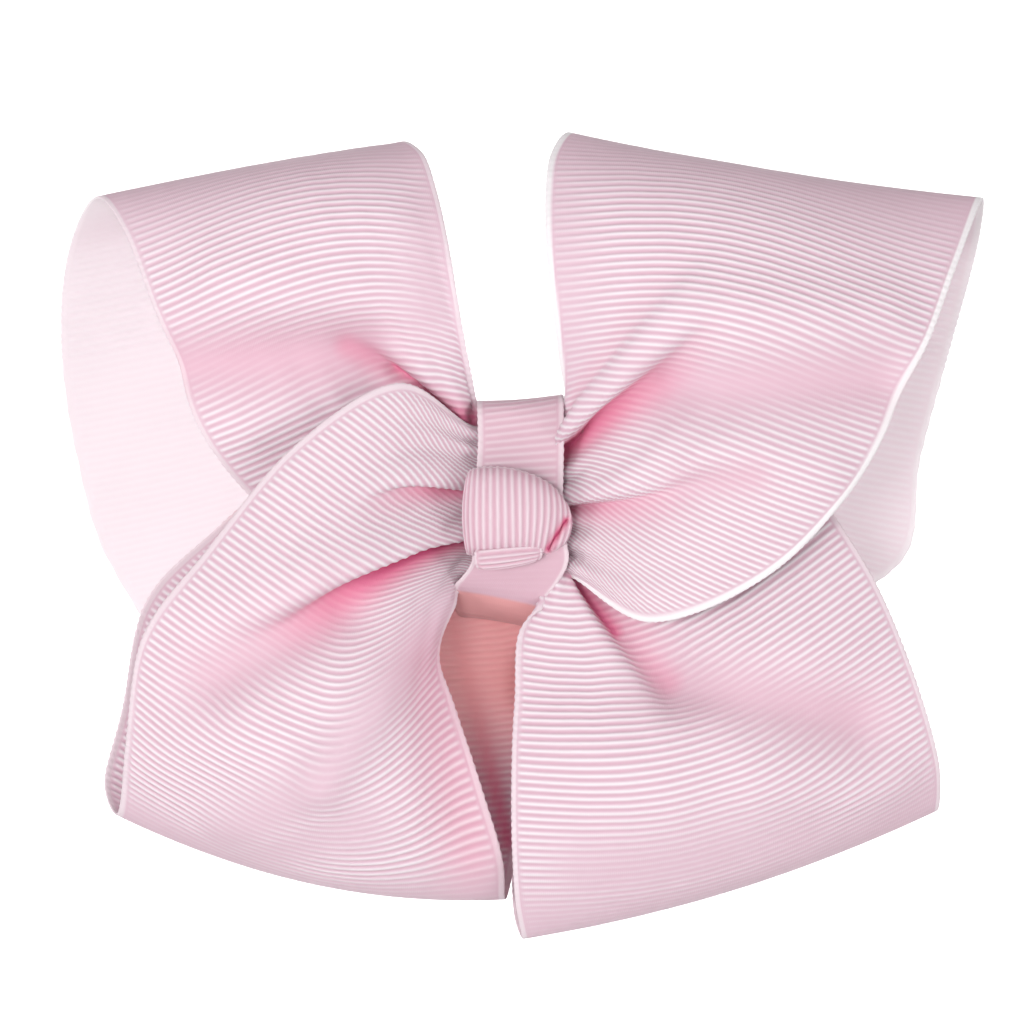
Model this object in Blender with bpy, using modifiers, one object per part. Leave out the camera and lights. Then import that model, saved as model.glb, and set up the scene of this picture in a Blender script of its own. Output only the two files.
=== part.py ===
"""Hair bow: four puffed loops of wide grosgrain ribbon, gathered at the middle by a
sewn thread and a knotted narrow ribbon, on a sprung alligator clip.

Run with: blender --background --python part.py

Metres, +Z up. The bow is upright, as worn: its face looks along -Y and its clip is
behind it. The origin is in the clip's grip, behind the knot. Sizes below are in
millimetres. A ribbon point is written (x, z, d): x to the right, z up, and d the
distance in front of the bow's middle plane.
"""

import math

import bmesh
import bpy
from mathutils import Vector

MM = 0.001

# Driving dimensions, in millimetres.
GRIP_DEPTH = -12.0  # d of the plane in which the clip's jaws close
RIBBON_THICK = 0.7  # wide ribbon, with its ribs
MIDDLE_Z = 2.6  # height of the middle of the gathered stack
BAND_WIDTH = 14.4  # narrow ribbon round the middle
BAND_THICK = 0.6
BAND_HALF_HEIGHT = 17.7  # to the middle of the band's thickness
BAND_HALF_DEPTH = 9.85
BAND_DEPTH = -1.55  # d of the band's centre
THREAD_DIAMETER = 0.5
THREAD_TURNS = 3
THREAD_PITCH = 0.9
THREAD_HALF_HEIGHT = 16.7
THREAD_HALF_DEPTH = 6.3
KNOT_SIZE = (19.0, 7.0, 18.0)  # across, deep and up, before it is rounded off
KNOT_FRONT, KNOT_REAR, KNOT_Z = 15.9, 8.9, -0.4
GLUE_SIZE = (13.0, 2.6, 8.0)
GLUE_DEPTH = -8.35
CLIP_SHEET = 0.8  # thickness of the clip's steel
PIVOT_X, PIVOT_DEPTH = 12.0, -13.6
FIXED_EAR_Z = 3.6  # the ears' middles stand this far either side of the clip's centre line
JAW_EAR_Z = 2.7
PIN_RADIUS = 0.8
PIN_HOLE_RADIUS = 0.95
PIN_HEAD_RADIUS = 1.4
PIN_SHANK_HALF, PIN_END_HALF = 4.3, 4.8
SPRING_WIRE = 0.6
SPRING_RADIUS = 1.45
SPRING_TURNS = 3
SPRING_PITCH = 0.75

# The clip's arms as strips of sheet: (x, d, half width) along the middle of the sheet.
FIXED_ARM_LINE = [
    (-24.6, -10.4, 1.8), (-24.0, -10.4, 2.8), (-22.6, -10.4, 3.5), (-20.0, -10.4, 3.6),
    (-8.0, -10.4, 3.6), (9.4, -10.4, 3.6), (14.6, -10.4, 3.6), (17.0, -10.4, 3.8),
    (20.0, -10.3, 4.6), (26.0, -10.0, 4.6), (27.6, -9.9, 3.6), (28.2, -9.9, 2.0),
]
JAW_ARM_LINE = [
    (-24.4, -11.6, 2.6), (-24.1, -12.6, 2.9), (-22.6, -12.9, 3.3), (-20.0, -12.9, 3.4),
    (-7.0, -13.1, 3.4), (7.0, -14.6, 3.4), (9.8, -15.6, 2.7), (14.2, -16.8, 2.7),
    (17.0, -18.1, 3.4), (20.0, -19.6, 4.4), (26.0, -22.6, 4.4), (27.4, -23.3, 3.4),
    (27.9, -23.6, 1.9),
]
FIXED_EAR_RANGE = (9.4, 14.6)
JAW_EAR_RANGE = (9.8, 14.2)
FIXED_EAR_END = -15.3  # d of each pair of ears' far edge
JAW_EAR_END = -12.0

# Mesh fineness.
ALONG_STEPS = 42  # faces along a loop, three to each span of its threads
ACROSS_STEPS = 12  # faces across a loop


def at(x, z, d):
    """A point in metres in the part's frame."""
    return Vector((x, GRIP_DEPTH - d, z)) * MM


# ---------------------------------------------------------------- ribbon shapes
# Each loop is held by three threads of its ribbon: the selvedge nearer the bow's
# upright centre line, the middle thread, and the outer selvedge. Each thread runs
# from the gather, over the front, round the bend and back along the rear.

UPPER_LEFT = {
    "inner": [
        (-0.4, 17.6, 1.5), (-7.5, 18.8, 2.2), (-8.6, 27, 8), (-10.4, 38, 12.5),
        (-12.2, 48, 12.5), (-13.8, 56, 10), (-15.2, 61.5, 6), (-17.0, 64, 0),
        (-18, 61.5, -6), (-17, 54, -9.5), (-15, 44, -10.5), (-13, 34, -9.5),
        (-10.5, 25, -7), (-7.5, 18.8, -5), (-0.4, 17.6, -4.5),
    ],
    "middle": [
        (-0.4, 2.6, 1.5), (-7.5, 3.5, 2.2), (-17, 11, 5.5), (-28, 28, 12),
        (-36, 43, 17), (-41, 53, 15), (-44, 60, 8.5), (-45.5, 62.8, 0),
        (-46, 59, -8), (-45, 49, -14), (-42, 35, -16.5), (-36, 20, -16.5),
        (-24, 8, -9.2), (-7.5, 3.5, -5), (-0.4, 2.6, -4.5),
    ],
    "outer": [
        (-0.4, -12.4, 1.5), (-8.0, -12.4, 2.0), (-29, -12, 3.5), (-47.5, 4.5, 7),
        (-57, 19, 10.5), (-62.4, 35, 11.5), (-68.0, 49, 8), (-74.0, 55.6, 0),
        (-79.5, 47, -7), (-81.6, 32, -12), (-79.6, 12, -16), (-73, -9.5, -17),
        (-57, -26, -16), (-23, -18.2, -8.6), (-0.4, -12.4, -4.5),
    ],
}

UPPER_RIGHT = {
    "inner": [
        (0.4, 17.6, 4.5), (8.0, 18.2, 5.2), (7.2, 27, 10.5), (5.9, 37, 14),
        (4.9, 47, 14), (4.9, 56, 11), (5.8, 62.5, 6.5), (8.8, 67.0, 0),
        (12, 64, -5.5), (14, 55, -8), (14, 45, -8.5), (13, 36, -7),
        (11, 27, -4.5), (7.5, 19.2, -2), (0.4, 17.6, -1.5),
    ],
    "middle": [
        (0.4, 2.6, 4.5), (7.5, 3.2, 5.5), (18.5, 9.5, 13.5), (29, 21, 20),
        (37, 36, 22), (41.5, 49, 18), (44, 57.6, 9.5), (44.5, 60.2, 0.5),
        (44.8, 57, -7.5), (44, 47, -11.5), (41, 34, -12), (34, 21, -9.5),
        (22, 10.5, -5.5), (7.5, 3.2, -2), (0.4, 2.6, -1.5),
    ],
    "outer": [
        (0.4, -12.4, 4.5), (8.2, -10.5, 6.5), (23, -18.4, 14.5), (43, -10.2, 17.5),
        (58.2, 6.1, 17), (68.8, 26, 15), (76, 43.5, 10), (81.6, 55.4, 0.5),
        (81.6, 47.2, -7), (77, 28.5, -11), (72.2, 10, -12.5), (68.6, -8.5, -12),
        (47, -18, -8), (20, -15, -3.5), (0.4, -12.4, -1.5),
    ],
}

LOWER_LEFT = {
    "inner": [
        (-0.4, -12.4, 4.5), (-8.8, -13.4, 5.0), (-12.4, -22, 9.5), (-10.3, -31, 12.5),
        (-7.2, -41, 14), (-4.7, -50, 12.5), (-2.4, -60, 8), (-2.0, -67.2, 0.5),
        (-0.5, -62, -5.5), (1.0, -52, -8.5), (3.0, -42, -8.5), (4.0, -31, -6.5),
        (0.0, -23.5, -3.8), (-12.0, -11.4, -2.2), (-0.4, -12.4, -1.5),
    ],
    "middle": [
        (-0.4, 2.6, 4.5), (-7.5, 2.2, 5.5), (-19, -3, 13), (-28, -15, 19),
        (-33, -31, 22), (-35.5, -46, 20), (-36.5, -59, 11), (-36.6, -64.3, 1),
        (-37, -60, -8), (-37.5, -49, -12), (-37, -36, -11.5), (-32, -22, -8.5),
        (-22, -8.5, -4.5), (-7.5, 2.2, -2), (-0.4, 2.6, -1.5),
    ],
    "outer": [
        (-0.4, 17.6, 4.5), (-7.5, 15.4, 6.2), (-20.5, 22.6, 14.5), (-38, 11.8, 17),
        (-53, -6, 16), (-64.2, -21, 14.5), (-67.4, -40, 10), (-70, -52.2, 0.5),
        (-73, -47, -5.5), (-70.2, -34.6, -8), (-66.3, -16.1, -8.5), (-55, -4, -6),
        (-34, 12, -3.5), (-7.5, 15.6, -2), (-0.4, 17.6, -1.5),
    ],
}

LOWER_RIGHT = {
    "inner": [
        (0.4, -12.4, 1.5), (11.8, -11.2, 2.2), (2.0, -23.4, 7.0), (-0.4, -32, 10.5),
        (-0.9, -44, 12.5), (-0.9, -56, 11), (-0.3, -67, 6.5), (0.9, -74.2, 0),
        (-0.6, -70.5, -6), (-1.0, -61, -10), (-0.5, -50, -11.5), (0, -39, -10.5),
        (3.0, -29, -8.5), (12.0, -11.2, -5.5), (0.4, -12.4, -4.5),
    ],
    "middle": [
        (0.4, 2.6, 1.5), (7.5, 1.5, 2.2), (18, -6, 5), (27, -19, 11),
        (33, -34, 18.5), (36.5, -49, 17), (38, -61, 9.5), (38, -65.6, 0),
        (38, -61.5, -8.5), (38, -50, -14), (36, -37, -15), (31, -23, -12.5),
        (21, -9, -7.5), (7.5, 1.5, -5), (0.4, 2.6, -4.5),
    ],
    "outer": [
        (0.4, 17.6, 1.5), (7.5, 16.5, 2.2), (28, 19, 5), (46, 10, 8),
        (59.2, -7.2, 11), (67.5, -25.2, 11.5), (72.8, -42, 8), (73.8, -51.6, 0),
        (72.6, -46, -6.5), (70, -34, -11), (64.5, -20, -13), (55, -5, -13),
        (38, 9, -10.6), (18, 15, -6.6), (0.4, 17.6, -4.5),
    ],
}


def curve_point(points, t):
    """A point of the smooth curve through these points; t runs from 0 to 1."""
    spans = len(points) - 1
    place = min(max(t, 0.0), 1.0) * spans
    i = min(int(place), spans - 1)
    f = place - i
    p0 = Vector(points[max(i - 1, 0)])
    p1 = Vector(points[i])
    p2 = Vector(points[i + 1])
    p3 = Vector(points[min(i + 2, spans)])
    a = 2 * p1
    b = p2 - p0
    c = 2 * p0 - 5 * p1 + 4 * p2 - p3
    e = 3 * p1 - p0 - 3 * p2 + p3
    return 0.5 * (a + b * f + c * f * f + e * f * f * f)


def ribbon_point(threads, along, across):
    """A point (x, z, d) of a loop: along from 0 to 1, across from 0 (inner) to 1."""
    inner = curve_point(threads["inner"], along)
    middle = curve_point(threads["middle"], along)
    outer = curve_point(threads["outer"], along)
    share_inner = (1 - across) * (1 - 2 * across)
    share_middle = 4 * across * (1 - across)
    share_outer = across * (2 * across - 1)
    return inner * share_inner + middle * share_middle + outer * share_outer


# --------------------------------------------------------------------- helpers


def clear_scene():
    for obj in list(bpy.data.objects):
        bpy.data.objects.remove(obj, do_unlink=True)


def new_collection(name):
    group = bpy.data.collections.new(name)
    bpy.context.scene.collection.children.link(group)
    return group


def material(name, colour, roughness, metallic=0.0):
    made = bpy.data.materials.new(name)
    made.use_nodes = True
    shader = made.node_tree.nodes["Principled BSDF"]
    shader.inputs["Base Color"].default_value = (*colour, 1.0)
    shader.inputs["Roughness"].default_value = roughness
    shader.inputs["Metallic"].default_value = metallic
    return made


def add_object(name, data, group, finish):
    obj = bpy.data.objects.new(name, data)
    group.objects.link(obj)
    data.materials.append(finish)
    return obj


def mesh_of(bm, name, smooth=True):
    mesh = bpy.data.meshes.new(name)
    bmesh.ops.recalc_face_normals(bm, faces=bm.faces)
    bm.to_mesh(mesh)
    bm.free()
    if smooth:
        mesh.shade_smooth()
    return mesh


def solidify(obj, thickness, offset=0.0):
    shell = obj.modifiers.new("Thickness", "SOLIDIFY")
    shell.thickness = thickness
    shell.offset = offset
    shell.use_even_offset = True
    shell.use_quality_normals = True


# --------------------------------------------------------------------- ribbons


def make_loop(name, threads, group, finish):
    """One loop of the wide ribbon, gathered at both ends under the wrap."""
    bm = bmesh.new()
    rows = []
    for i in range(ALONG_STEPS + 1):
        row = []
        for j in range(ACROSS_STEPS + 1):
            point = ribbon_point(threads, i / ALONG_STEPS, j / ACROSS_STEPS)
            row.append(bm.verts.new(at(*point)))
        rows.append(row)
    for low, high in zip(rows, rows[1:]):
        for j in range(ACROSS_STEPS):
            bm.faces.new((low[j], low[j + 1], high[j + 1], high[j]))
    obj = add_object(name, mesh_of(bm, name), group, finish)
    solidify(obj, RIBBON_THICK * MM)
    return obj


# ---------------------------------------------------------------- the middle


def oval_point(angle, half_height, half_depth, centre_depth, squareness):
    """A point (z, d) of a rounded oval round the gathered stack."""
    c, q = math.cos(angle), math.sin(angle)
    power = 2 / squareness
    z = MIDDLE_Z + half_height * math.copysign(abs(q) ** power, q)
    d = centre_depth + half_depth * math.copysign(abs(c) ** power, c)
    return z, d


def make_thread(group, finish):
    """The sewing thread, wound round the gathered ribbon under the wrap."""
    curve = bpy.data.curves.new("gathering_thread", "CURVE")
    curve.dimensions = "3D"
    curve.bevel_depth = THREAD_DIAMETER / 2 * MM
    curve.bevel_resolution = 1
    curve.use_fill_caps = True
    a_turn = 24
    count = THREAD_TURNS * a_turn
    line = curve.splines.new("POLY")
    line.points.add(count - 1)
    for i in range(count):
        angle = 2 * math.pi * i / a_turn
        z, d = oval_point(angle, THREAD_HALF_HEIGHT, THREAD_HALF_DEPTH, 0.0, 6)
        x = (i / a_turn - THREAD_TURNS / 2) * THREAD_PITCH
        line.points[i].co = (*at(x, z, d), 1.0)
    return add_object("gathering_thread", curve, group, finish)


def make_band(group, finish):
    """The narrow ribbon that goes round the bow's middle and the clip's fixed arm."""
    bm = bmesh.new()
    steps = 40
    ring = []
    for i in range(steps):
        angle = 2 * math.pi * (i + 0.5) / steps
        z, d = oval_point(angle, BAND_HALF_HEIGHT, BAND_HALF_DEPTH, BAND_DEPTH, 4.5)
        ring.append(bm.verts.new(at(-BAND_WIDTH / 2, z, d)))
    edges = [bm.edges.new((ring[i], ring[(i + 1) % steps])) for i in range(steps)]
    widths = 4
    for _ in range(widths):
        made = bmesh.ops.extrude_edge_only(bm, edges=edges)["geom"]
        verts = [g for g in made if isinstance(g, bmesh.types.BMVert)]
        edges = [g for g in made if isinstance(g, bmesh.types.BMEdge)]
        shift = Vector((BAND_WIDTH / widths * MM, 0, 0))
        bmesh.ops.translate(bm, verts=verts, vec=shift)
    obj = add_object("centre_wrap", mesh_of(bm, "centre_wrap"), group, finish)
    solidify(obj, BAND_THICK * MM)
    return obj


def make_knot(group, finish):
    """The overhand knot in the wrap, at the front."""
    bm = bmesh.new()
    bmesh.ops.create_cube(bm, size=1.0)
    bmesh.ops.subdivide_edges(bm, edges=bm.edges[:], cuts=2, use_grid_fill=True)
    size = Vector(KNOT_SIZE) * MM
    bmesh.ops.scale(bm, verts=bm.verts, vec=size)
    centre = at(0, KNOT_Z, (KNOT_FRONT + KNOT_REAR) / 2)
    bmesh.ops.translate(bm, verts=bm.verts, vec=centre)
    obj = add_object("centre_knot", mesh_of(bm, "centre_knot"), group, finish)
    soft = obj.modifiers.new("Rounding", "SUBSURF")
    soft.levels = 1
    soft.render_levels = 1
    return obj


def make_glue_pad(group, finish):
    """The set glue between the gathered ribbon and the clip's fixed arm."""
    bm = bmesh.new()
    bmesh.ops.create_cube(bm, size=1.0)
    bmesh.ops.scale(bm, verts=bm.verts, vec=Vector(GLUE_SIZE) * MM)
    bmesh.ops.translate(bm, verts=bm.verts, vec=at(0, 0, GLUE_DEPTH))
    obj = add_object("glue_pad", mesh_of(bm, "glue_pad", False), group, finish)
    bevel = obj.modifiers.new("Edges", "BEVEL")
    bevel.width = 0.5 * MM
    bevel.segments = 2
    return obj


# ------------------------------------------------------------------- the clip


def make_arm(name, line, ears, group, finish):
    """One arm of the clip: a strip of sheet steel with two ears folded off its sides.

    ears is (first x, last x, half distance between the ears, d of their far edge).
    """
    first_x, last_x, ear_z, ear_end = ears
    bm = bmesh.new()
    x, d, half = line[0]
    low, high = (bm.verts.new(at(x, side * half, d)) for side in (-1, 1))
    edge = bm.edges.new((low, high))
    ear_edges = {-1: [], 1: []}
    for x, d, half in line[1:]:
        made = bmesh.ops.extrude_edge_only(bm, edges=[edge])["geom"]
        verts = [g for g in made if isinstance(g, bmesh.types.BMVert)]
        before = set(edge.verts)
        for v in verts:
            side = 1 if v.co.z > 0 else -1
            v.co = at(x, side * half, d)
            for link in v.link_edges:
                other = link.other_vert(v)
                inside = first_x - 0.01 <= other.co.x / MM and x <= last_x + 0.01
                if other in before and inside:
                    ear_edges[side].append(link)
        edge = next(e for e in bm.edges if set(e.verts) == set(verts))
    pivot_x = (first_x + last_x) / 2
    for side, edges in ear_edges.items():
        start = sum(v.co.y for e in edges for v in e.verts) / (2 * len(edges))
        end = at(0, 0, ear_end).y
        for share, narrow in ((0.7, 1.0), (1.0, 0.62)):
            made = bmesh.ops.extrude_edge_only(bm, edges=edges)["geom"]
            edges = [g for g in made if isinstance(g, bmesh.types.BMEdge)]
            for v in (g for g in made if isinstance(g, bmesh.types.BMVert)):
                v.co.y = start + (end - start) * share
                v.co.x = (pivot_x + (v.co.x / MM - pivot_x) * narrow) * MM
                v.co.z = side * ear_z * MM
    obj = add_object(name, mesh_of(bm, name, False), group, finish)
    solidify(obj, CLIP_SHEET * MM)
    return obj


def cut_pin_hole(arm, cutters):
    """Drills both ears of an arm for the pin."""
    bm = bmesh.new()
    bmesh.ops.create_cone(
        bm, cap_ends=True, segments=24, radius1=PIN_HOLE_RADIUS * MM,
        radius2=PIN_HOLE_RADIUS * MM, depth=4 * PIN_END_HALF * MM,
    )
    bmesh.ops.translate(bm, verts=bm.verts, vec=at(PIVOT_X, 0, PIVOT_DEPTH))
    cutter = bpy.data.objects.new("pin_hole_" + arm.name, mesh_of(bm, "pin_hole", False))
    cutters.objects.link(cutter)
    cutter.hide_render = True
    cutter.display_type = "WIRE"
    cut = arm.modifiers.new("Pin hole", "BOOLEAN")
    cut.operation = "DIFFERENCE"
    cut.solver = "EXACT"
    cut.object = cutter


def set_origin(obj, point):
    """Moves an object's origin to a point and leaves its shape where it is."""
    for v in obj.data.vertices:
        v.co -= point
    obj.location = point


def make_fixed_arm(group, cutters, finish):
    """The arm that the wrap holds against the bow's back."""
    ears = (*FIXED_EAR_RANGE, FIXED_EAR_Z, FIXED_EAR_END)
    arm = make_arm("clip_fixed_arm", FIXED_ARM_LINE, ears, group, finish)
    cut_pin_hole(arm, cutters)
    return arm


def make_jaw_arm(group, cutters, finish):
    """The arm that opens; its origin is on the pin's axis."""
    ears = (*JAW_EAR_RANGE, JAW_EAR_Z, JAW_EAR_END)
    arm = make_arm("clip_jaw_arm", JAW_ARM_LINE, ears, group, finish)
    set_origin(arm, at(PIVOT_X, 0, PIVOT_DEPTH))
    cut_pin_hole(arm, cutters)
    return arm


def make_pin(group, finish):
    """The rivet that the jaw arm turns on."""
    profile = [
        (0, PIN_END_HALF), (PIN_HEAD_RADIUS, PIN_END_HALF),
        (PIN_HEAD_RADIUS, PIN_SHANK_HALF), (PIN_RADIUS, PIN_SHANK_HALF),
        (PIN_RADIUS, -PIN_SHANK_HALF), (PIN_HEAD_RADIUS, -PIN_SHANK_HALF),
        (PIN_HEAD_RADIUS, -PIN_END_HALF), (0, -PIN_END_HALF),
    ]
    mesh = bpy.data.meshes.new("clip_pin")
    points = [(r * MM, 0, z * MM) for r, z in profile]
    mesh.from_pydata(points, [(i, i + 1) for i in range(len(points) - 1)], [])
    obj = add_object("clip_pin", mesh, group, finish)
    obj.location = at(PIVOT_X, 0, PIVOT_DEPTH)
    turn = obj.modifiers.new("Turned", "SCREW")
    turn.steps = 24
    turn.render_steps = 24
    turn.use_merge_vertices = True
    turn.merge_threshold = 0.00001
    return obj


def make_spring(group, finish):
    """The wire spring round the pin, with a leg against each arm's lever."""
    curve = bpy.data.curves.new("clip_spring", "CURVE")
    curve.dimensions = "3D"
    curve.bevel_depth = SPRING_WIRE / 2 * MM
    curve.bevel_resolution = 1
    curve.use_fill_caps = True
    half = SPRING_TURNS * SPRING_PITCH / 2
    start, end = math.radians(90), math.radians(-112)
    turned = SPRING_TURNS * 2 * math.pi + (start - end)
    points = [(21.0, -half, PIVOT_DEPTH + 2.2), (16.5, -half, PIVOT_DEPTH + 1.9)]
    steps = 14 * SPRING_TURNS
    for i in range(steps + 1):
        angle = start + turned * i / steps
        x = PIVOT_X + SPRING_RADIUS * math.cos(angle)
        d = PIVOT_DEPTH + SPRING_RADIUS * math.sin(angle)
        points.append((x, -half + 2 * half * i / steps, d))
    points.append((19.6, half, PIVOT_DEPTH - 4.3))
    line = curve.splines.new("POLY")
    line.points.add(len(points) - 1)
    for place, point in zip(line.points, points):
        place.co = (*at(*point), 1.0)
    return add_object("clip_spring", curve, group, finish)


def main():
    clear_scene()
    group = new_collection("hair_bow")
    cutters = new_collection("cutters")
    cutters.hide_render = True
    pink = material("pink_grosgrain", (0.84, 0.58, 0.66), 0.62)
    wrap = material("pink_wrap_ribbon", (0.85, 0.6, 0.68), 0.5)
    cotton = material("pink_thread", (0.8, 0.5, 0.6), 0.7)
    glue = material("clear_set_glue", (0.85, 0.83, 0.78), 0.3)
    nickel = material("nickel_plated_steel", (0.75, 0.75, 0.76), 0.25, 1.0)
    wire = material("spring_wire", (0.55, 0.55, 0.57), 0.3, 1.0)
    make_loop("upper_left_loop", UPPER_LEFT, group, pink)
    make_loop("upper_right_loop", UPPER_RIGHT, group, pink)
    make_loop("lower_left_loop", LOWER_LEFT, group, pink)
    make_loop("lower_right_loop", LOWER_RIGHT, group, pink)
    make_thread(group, cotton)
    make_band(group, wrap)
    make_knot(group, wrap)
    make_glue_pad(group, glue)
    make_fixed_arm(group, cutters, nickel)
    make_jaw_arm(group, cutters, nickel)
    make_pin(group, nickel)
    make_spring(group, wire)


main()
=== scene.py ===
"""Looks of the hair bow: fine grosgrain ribbon loops, a knotted wrap, and a sprung clip.

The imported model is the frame. Metres, +Z up, the bow's face along -Y. Ribbon points
are written as (x, z, d) in millimetres, d being the distance in front of the bow's
middle plane.
"""

import logging
import math
from collections.abc import Callable
from dataclasses import dataclass, field
from enum import Enum

import bmesh
import bpy
import numpy as np
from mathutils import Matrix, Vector


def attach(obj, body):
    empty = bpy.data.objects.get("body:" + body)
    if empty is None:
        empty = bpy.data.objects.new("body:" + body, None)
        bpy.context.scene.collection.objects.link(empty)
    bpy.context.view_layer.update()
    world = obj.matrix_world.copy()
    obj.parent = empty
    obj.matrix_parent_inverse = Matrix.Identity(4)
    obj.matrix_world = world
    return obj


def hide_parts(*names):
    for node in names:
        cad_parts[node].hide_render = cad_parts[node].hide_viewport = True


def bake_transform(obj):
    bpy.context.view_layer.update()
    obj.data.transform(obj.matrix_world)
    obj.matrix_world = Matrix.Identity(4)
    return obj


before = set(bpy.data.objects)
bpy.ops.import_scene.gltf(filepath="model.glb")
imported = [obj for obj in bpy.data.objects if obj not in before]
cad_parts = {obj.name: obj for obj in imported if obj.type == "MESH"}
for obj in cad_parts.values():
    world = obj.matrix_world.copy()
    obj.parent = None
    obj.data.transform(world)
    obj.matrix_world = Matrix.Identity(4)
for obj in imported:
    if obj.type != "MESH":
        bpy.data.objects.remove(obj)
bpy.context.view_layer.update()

LOG = logging.getLogger("hair_bow")
MM = 0.001
TRUE_SHARE = 0.55  # of a loop's pass in which the ribs keep their distance
SELVEDGE_COLUMNS = np.array([0, 0.22, 0.45, 0.7, 0.95, 1.3, 1.8, 2.5])  # mm from the edge
GATHER_WAVES = (5, 8, 11)  # small waves across a loop, beside the gather
PLEATS = 7  # pleats across a loop, under the thread
PLEAT_HEIGHT = 0.8
GRIP_DEPTH = -12.0  # d of the plane in which the clip's jaws close, where y is 0
PIVOT_X = 12.0  # where the clip's hinge pin stands
PIVOT_DEPTH = -13.6
BOW = "bow"
JAW = "clip_jaw"

Point = tuple[float, float, float]
Socket = bpy.types.NodeSocket


def at(x: float, z: float, d: float) -> Vector:
    """A ribbon point as a place in the frame.

    Args:
        x: How far right it is, in mm.
        z: How far up it is, in mm.
        d: How far in front of the bow's middle plane it is, in mm.

    Returns:
        The place, in metres.
    """
    return Vector((x, GRIP_DEPTH - d, z)) * MM


def in_frame(points: np.ndarray) -> np.ndarray:
    """Ribbon points as places in the frame.

    Args:
        points: (x, z, d) on the last of two axes, in mm.

    Returns:
        The places, still in mm.
    """
    return np.stack([points[:, 0], GRIP_DEPTH - points[:, 2], points[:, 1]], axis=1)


def linear(code: str) -> tuple[float, float, float, float]:
    """A colour written as six hex digits, as linear light.

    Args:
        code: Red, green and blue, two hex digits each.

    Returns:
        Linear red, green and blue, with an alpha of 1.
    """
    shares = [int(code[i : i + 2], 16) / 255 for i in (0, 2, 4)]
    light = [s / 12.92 if s <= 0.04045 else ((s + 0.055) / 1.055) ** 2.4 for s in shares]
    return (*light, 1.0)


def smooth(low: float, high: float, value: np.ndarray) -> np.ndarray:
    """A smooth step from 0 at low to 1 at high.

    Args:
        low: Where the step starts.
        high: Where it ends.
        value: The places at which it is wanted.

    Returns:
        The step at each place.
    """
    t = np.clip((np.asarray(value, float) - low) / (high - low), 0, 1)
    return t * t * (3 - 2 * t)


def thread(points: list[Point] | np.ndarray, t: np.ndarray) -> np.ndarray:
    """Points of the smooth curve through some guide points.

    Args:
        points: The guide points, evenly spaced in t.
        t: Places along the curve, from 0 to 1, in an array of any shape.

    Returns:
        An array of the shape of t with a last axis of three.
    """
    guides = np.asarray(points, float)
    spans = len(guides) - 1
    place = np.clip(t, 0, 1) * spans
    i = np.minimum(place.astype(int), spans - 1)
    f = (place - i)[..., None]
    p0, p1, p2, p3 = (guides[np.clip(i + k, 0, spans)] for k in (-1, 0, 1, 2))
    bend = 2 * p0 - 5 * p1 + 4 * p2 - p3
    twist = 3 * p1 - p0 - 3 * p2 + p3
    return 0.5 * (2 * p1 + (p2 - p0) * f + bend * f**2 + twist * f**3)


def surface(threads: tuple[list[Point], ...], t: np.ndarray, v: np.ndarray) -> np.ndarray:
    """Points of the smooth surface that three threads span.

    Args:
        threads: Guide points of the inner, the middle and the outer thread.
        t: Places along the threads, from 0 to 1.
        v: Places across, from 0 to 1, in an array of the same shape.

    Returns:
        An array of their shape with a last axis of three.
    """
    v = v[..., None]
    shares = ((1 - v) * (1 - 2 * v), 4 * v * (1 - v), v * (2 * v - 1))
    return sum(thread(points, t) * share for points, share in zip(threads, shares))


def arc_length(line: np.ndarray) -> np.ndarray:
    """Lengths down a line of points, or down every column of a grid of points.

    Args:
        line: The points, with their coordinates on the last axis.

    Returns:
        The length from the first point to each.
    """
    gaps = np.linalg.norm(np.diff(line, axis=0), axis=-1)
    return np.concatenate([np.zeros_like(gaps[:1]), np.cumsum(gaps, axis=0)])


def even_places(line: np.ndarray, rows: int) -> tuple[np.ndarray, np.ndarray]:
    """Places the same length apart on a line.

    Args:
        line: Many points of the line, evenly spaced in place from 0 to 1.
        rows: How many places are wanted.

    Returns:
        The places, and the length up to each.
    """
    run = arc_length(line)
    fine = np.linspace(0, 1, len(line))
    places = np.interp(np.linspace(0, run[-1], rows), run, fine)
    return places, np.interp(places, fine, run)


def unit(vectors: np.ndarray) -> np.ndarray:
    """Scales vectors to a length of 1.

    Args:
        vectors: Vectors, with their coordinates on the last axis.

    Returns:
        The unit vectors.
    """
    return vectors / np.maximum(np.linalg.norm(vectors, axis=-1, keepdims=True), 1e-9)


def add_object(name: str, data: bpy.types.ID) -> bpy.types.Object:
    """Puts a new object into the scene.

    Args:
        name: Its name.
        data: Its mesh, light or camera.

    Returns:
        The object.
    """
    made = bpy.data.objects.new(name, data)
    bpy.context.scene.collection.objects.link(made)
    return made


def settle(piece: bpy.types.Object, finish: bpy.types.Material, slot: str, *nodes: str) -> None:
    """Gives a piece its finish, and hides the CAD nodes that it replaces.

    Args:
        piece: The piece, which rides on its body already.
        finish: Its material.
        slot: The material slot's name. Not used.
        nodes: The CAD nodes that it replaces, if any.
    """
    piece.data.materials.clear()
    piece.data.materials.append(finish)
    if nodes:
        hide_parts(*nodes)


# ------------------------------------------------------------------------- finishes


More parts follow.
